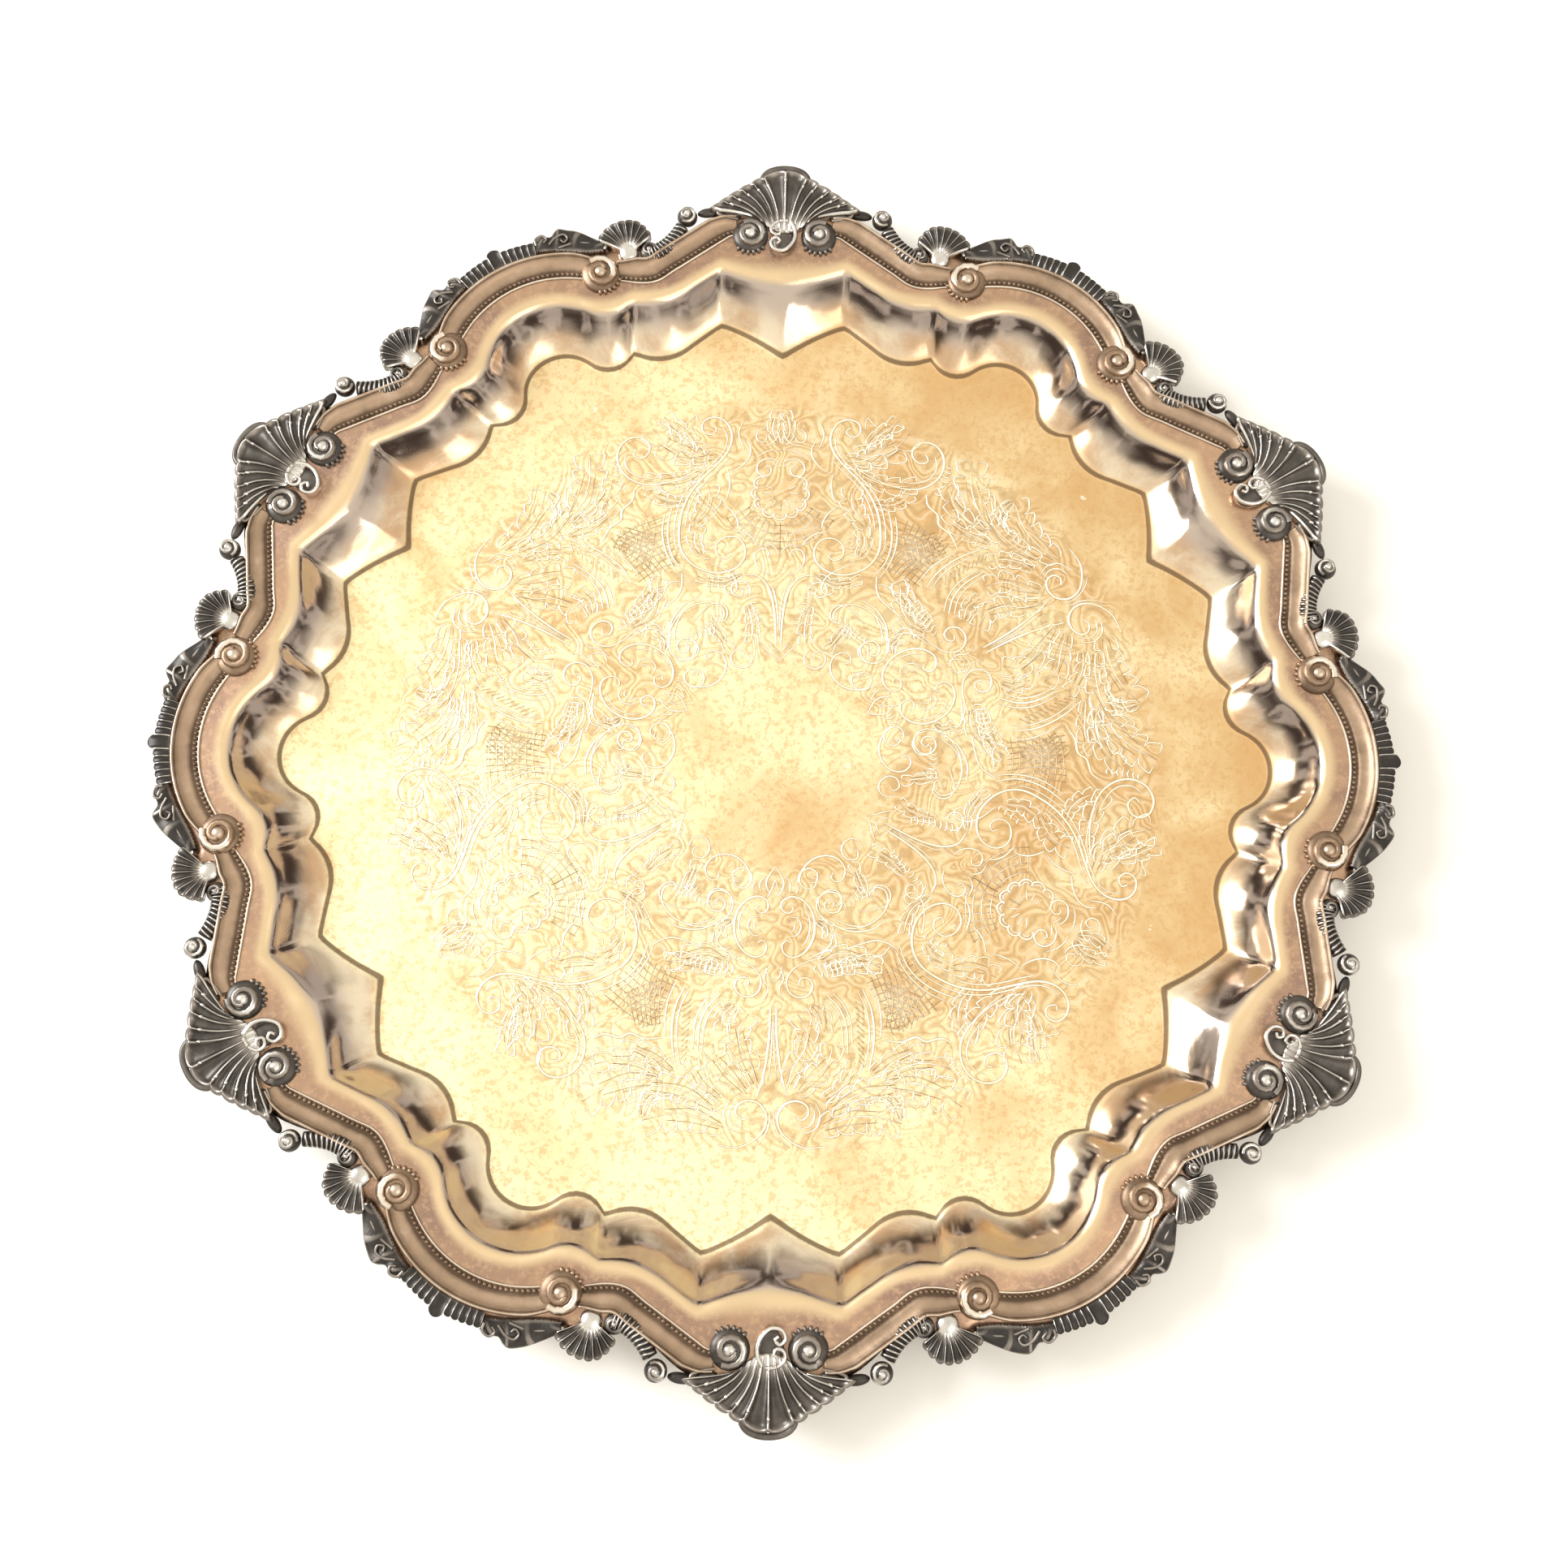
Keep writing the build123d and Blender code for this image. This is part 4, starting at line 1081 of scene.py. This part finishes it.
# ---------------------------------------------------------------------------------------
# Arch mouldings: six bowed lengths of the same beaded cove, each ending in two volutes that
# curl inward, soldered half way between the shells.
# ---------------------------------------------------------------------------------------
bead_reach, bead_swing, bead_steps = 36.2, 44.0, 96
arch_volute_radius = 6.0
arch_line = [from_arch(bead_reach, -bead_swing + 2 * bead_swing * step / bead_steps)
             for step in range(bead_steps + 1)]
arch = cove(arch_line, 0.15)
for hand in (1, -1):
    centre = from_arch(37.8, hand * 45.3)
    add_volute(arch, centre, arch_volute_radius,
               (75 if hand < 0 else 105) - arch_turn, -hand, 0.36)
    add_pearls(arch, centre, arch_volute_radius,
               (-135 if hand < 0 else -45) - arch_turn, -15 * hand)
set_round(polished(arch, "arch", cove_reach), "cove_arch", "arch_moulding", cast_moulding)

# ---------------------------------------------------------------------------------------
# Gadroon edges: six cast strips of hollowed lobes about a larger middle one, with an acanthus
# leaf curling off each end, soldered outside each arch moulding. They are tarnished dark.
# ---------------------------------------------------------------------------------------
gadroon_inner = 42.7
gadroon_length = 5.2
middle_swing = 2.7
lobe_swing = 2.66
side_lobes = 5
gadroon_swing = middle_swing + side_lobes * lobe_swing
# The leaf's edges, along the arch's width and out from the salver's centre
leaf_upper = ((13.0, 180.9), (15.6, 181.3), (18.2, 180.0), (20.4, 180.9), (22.8, 180.9),
              (25.6, 178.9), (28.8, 175.4), (32.6, 170.6))
leaf_lower = ((12.4, 177.4), (16.0, 175.9), (19.6, 174.0), (23.2, 171.7), (26.8, 169.7),
              (31.2, 168.0))


def gadroon_at(swing):
    """Place across the gadroon that a turn falls in, from -1 to 1, and whether it's the middle."""
    if abs(swing) <= middle_swing:
        return swing / middle_swing, True
    over = min(side_lobes - 1e-6, (abs(swing) - middle_swing) / lobe_swing)
    return 2 * (over % 1.0) - 1, False


def gadroon_place(along, across):
    """A point of the gadroons' upper face: hollowed lobes with thin ridges between them."""
    swing = (2 * along - 1) * gadroon_swing
    beside, middle = gadroon_at(swing)
    bow = sqrt(max(0.0, 1 - 0.97 * beside * beside))
    length = gadroon_length - 1.1 + (2.8 if middle else 1.1) * bow - 0.03 * abs(swing)
    rise = 1.2 + 1.5 * sin(pi * (0.12 + 0.62 * across)) + (0.25 + 0.75 * across) * (
        abs(beside) ** 3 - 0.5) * (1.2 if middle else 0.8)
    place = from_arch(gadroon_inner + length * across, swing)
    return (place.x * mm, place.y * mm, (flange_top + rise) * mm)


def gadroon_tone(along, across):
    """How bright the gadroons are worn: dark lobes, thin bright ridges."""
    beside, _ = gadroon_at((2 * along - 1) * gadroon_swing)
    return 0.14 + max(0.68 * eased(abs(beside), 0.78, 0.98), 0.25 * (1 - eased(across, 0.0, 0.2)))


def leaf_fold(along, across):
    """How high a point lies on the leaf's slanting folds, from -1 to 1."""
    return cos(pi * (7 * along - 1.6 * across))


def leaf_place(hand):
    """Places a leaf of one hand, given the part of its length and of its width."""
    upper = smooth_line(leaf_upper, 12)
    lower = smooth_line(leaf_lower, 12)

    def place_on_leaf(along, across):
        high = upper[round(along * (len(upper) - 1))]
        low = lower[round(along * (len(lower) - 1))]
        x, y = low.lerp(high, across)
        rise = 0.8 + 2.1 * sin(pi * (0.08 + 0.80 * across)) ** 0.8 * (1 - 0.45 * along)
        rise += 0.55 * leaf_fold(along, across) * across * (1 - 0.5 * along)
        place = turned((hand * x, y), arch_turn)
        return (place.x * mm, place.y * mm, (flange_top + max(0.3, rise)) * mm)

    return place_on_leaf


def leaf_tone(along, across):
    """How bright the leaf is worn: dark folds, a bright edge and bright veins."""
    vein = 0.5 + 0.5 * leaf_fold(along, across)
    rim = max(eased(across, 0.93, 1.0), 1 - eased(across, 0.0, 0.2))
    return 0.17 + max(0.5 * eased(vein, 0.84, 0.99) * across, 0.45 * rim)


edge = closed_back(laid_grid(176, 12, gadroon_place, gadroon_tone), flange_top)
for hand in (1, -1):
    add_part(edge, closed_back(laid_grid(84, 16, leaf_place(hand), leaf_tone), flange_top))
    for points, radius, lift, end_radius in (
            (((13.2, 178.6), (13.9, 180.6), (16.2, 180.9), (17.0, 179.2), (15.6, 178.4)),
             0.5, (2.7, 2.9), 0.35),
            (((16.8, 177.2), (19.8, 178.4), (22.4, 178.2), (23.0, 176.4), (21.4, 175.7),
              (20.8, 176.9)), 0.45, (2.6, 2.8), 0.3),
            (((19.0, 175.2), (23.6, 174.6), (27.4, 172.8), (30.6, 170.2)),
             0.5, (2.0, 1.5), 0.35)):
        curl_line = [turned((hand * x, y), arch_turn) for x, y in points]
        add_wires(edge, [raised_line(curl_line, radius, lift, end_radius)], 2, 0.6)
set_round(polished(edge, "edge"), "gadroon_leaf_edge", "gadroon_edge", cast_ornament)

# ---------------------------------------------------------------------------------------
# The salver lies flat on a plain white table, in soft light from a window on its left. The
# room is bright overhead, and its darker parts low down show only in the metal.
# ---------------------------------------------------------------------------------------
table_build = bmesh.new()
bmesh.ops.create_grid(table_build, x_segments=1, y_segments=1, size=3.0)
table_mesh = bpy.data.meshes.new("table")
table_build.to_mesh(table_mesh)
table_build.free()
table = bpy.data.objects.new("table", table_mesh)
bpy.context.scene.collection.objects.link(table)
table_white, _, table_shader, _ = started_material("table_white")
table_shader.inputs["Base Color"].default_value = (0.94, 0.925, 0.89, 1)
table_shader.inputs["Roughness"].default_value = 0.6
table_mesh.materials.append(table_white)

scene = bpy.context.scene
scene.view_settings.view_transform = "Standard"
studio = bpy.data.worlds.new("studio")
studio.use_nodes = True
scene.world = studio
sky = studio.node_tree
direction = sky.nodes.new("ShaderNodeTexCoord").outputs["Generated"]
up = add_node(sky, "ShaderNodeSeparateXYZ", {"Vector": direction}).outputs["Z"]
room = mixed(sky, stepped(sky, cloud(sky, direction, 3.6, 1.5), 0.52, 0.57),
             (0.075, 0.055, 0.045, 1), (0.62, 0.57, 0.52, 1))
glow = mixed(sky, stepped(sky, up, 0.14, 0.52), room, (1.0, 0.945, 0.83, 1))
background = sky.nodes["Background"]
seen = sky.nodes.new("ShaderNodeLightPath").outputs["Is Camera Ray"]
sky.links.new(mixed(sky, seen, glow, (0.90, 0.88, 0.84, 1)), background.inputs["Color"])
background.inputs["Strength"].default_value = 1.04


def soft_light(name, place, target, size, power, colour):
    """A square soft light that faces a point."""
    lamp = bpy.data.lights.new(name, "AREA")
    lamp.shape = "SQUARE"
    lamp.size = size
    lamp.energy = power
    lamp.color = colour
    light = bpy.data.objects.new(name, lamp)
    light.location = place
    light.rotation_euler = (Vector(target) - Vector(place)).to_track_quat("-Z", "Y").to_euler()
    scene.collection.objects.link(light)


soft_light("window_light", (-1.6, 0.5, 1.1), (0, 0, 0), 0.8, 40.0, (0.93, 0.97, 1.0))
soft_light("fill_light", (0.9, -0.9, 1.6), (0, 0, 0), 1.2, 7.0, (1.0, 0.97, 0.93))

camera_data = bpy.data.cameras.new("camera")
camera_data.lens = 37.47
camera_place = (-0.0045, -0.1085, 0.4840)
camera_data.sensor_width = 36.0
camera = bpy.data.objects.new("camera", camera_data)
forward = Vector((0.01366, 0.20671, -0.97831)).normalized()
upward = Vector((-0.01598, 0.97832, 0.20649))
right = forward.cross(upward).normalized()
upward = right.cross(forward)
camera.matrix_world = Matrix((
    *((right[k], upward[k], -forward[k], camera_place[k]) for k in range(3)),
    (0.0, 0.0, 0.0, 1.0)))
scene.collection.objects.link(camera)
scene.camera = camera

bpy.context.view_layer.update()
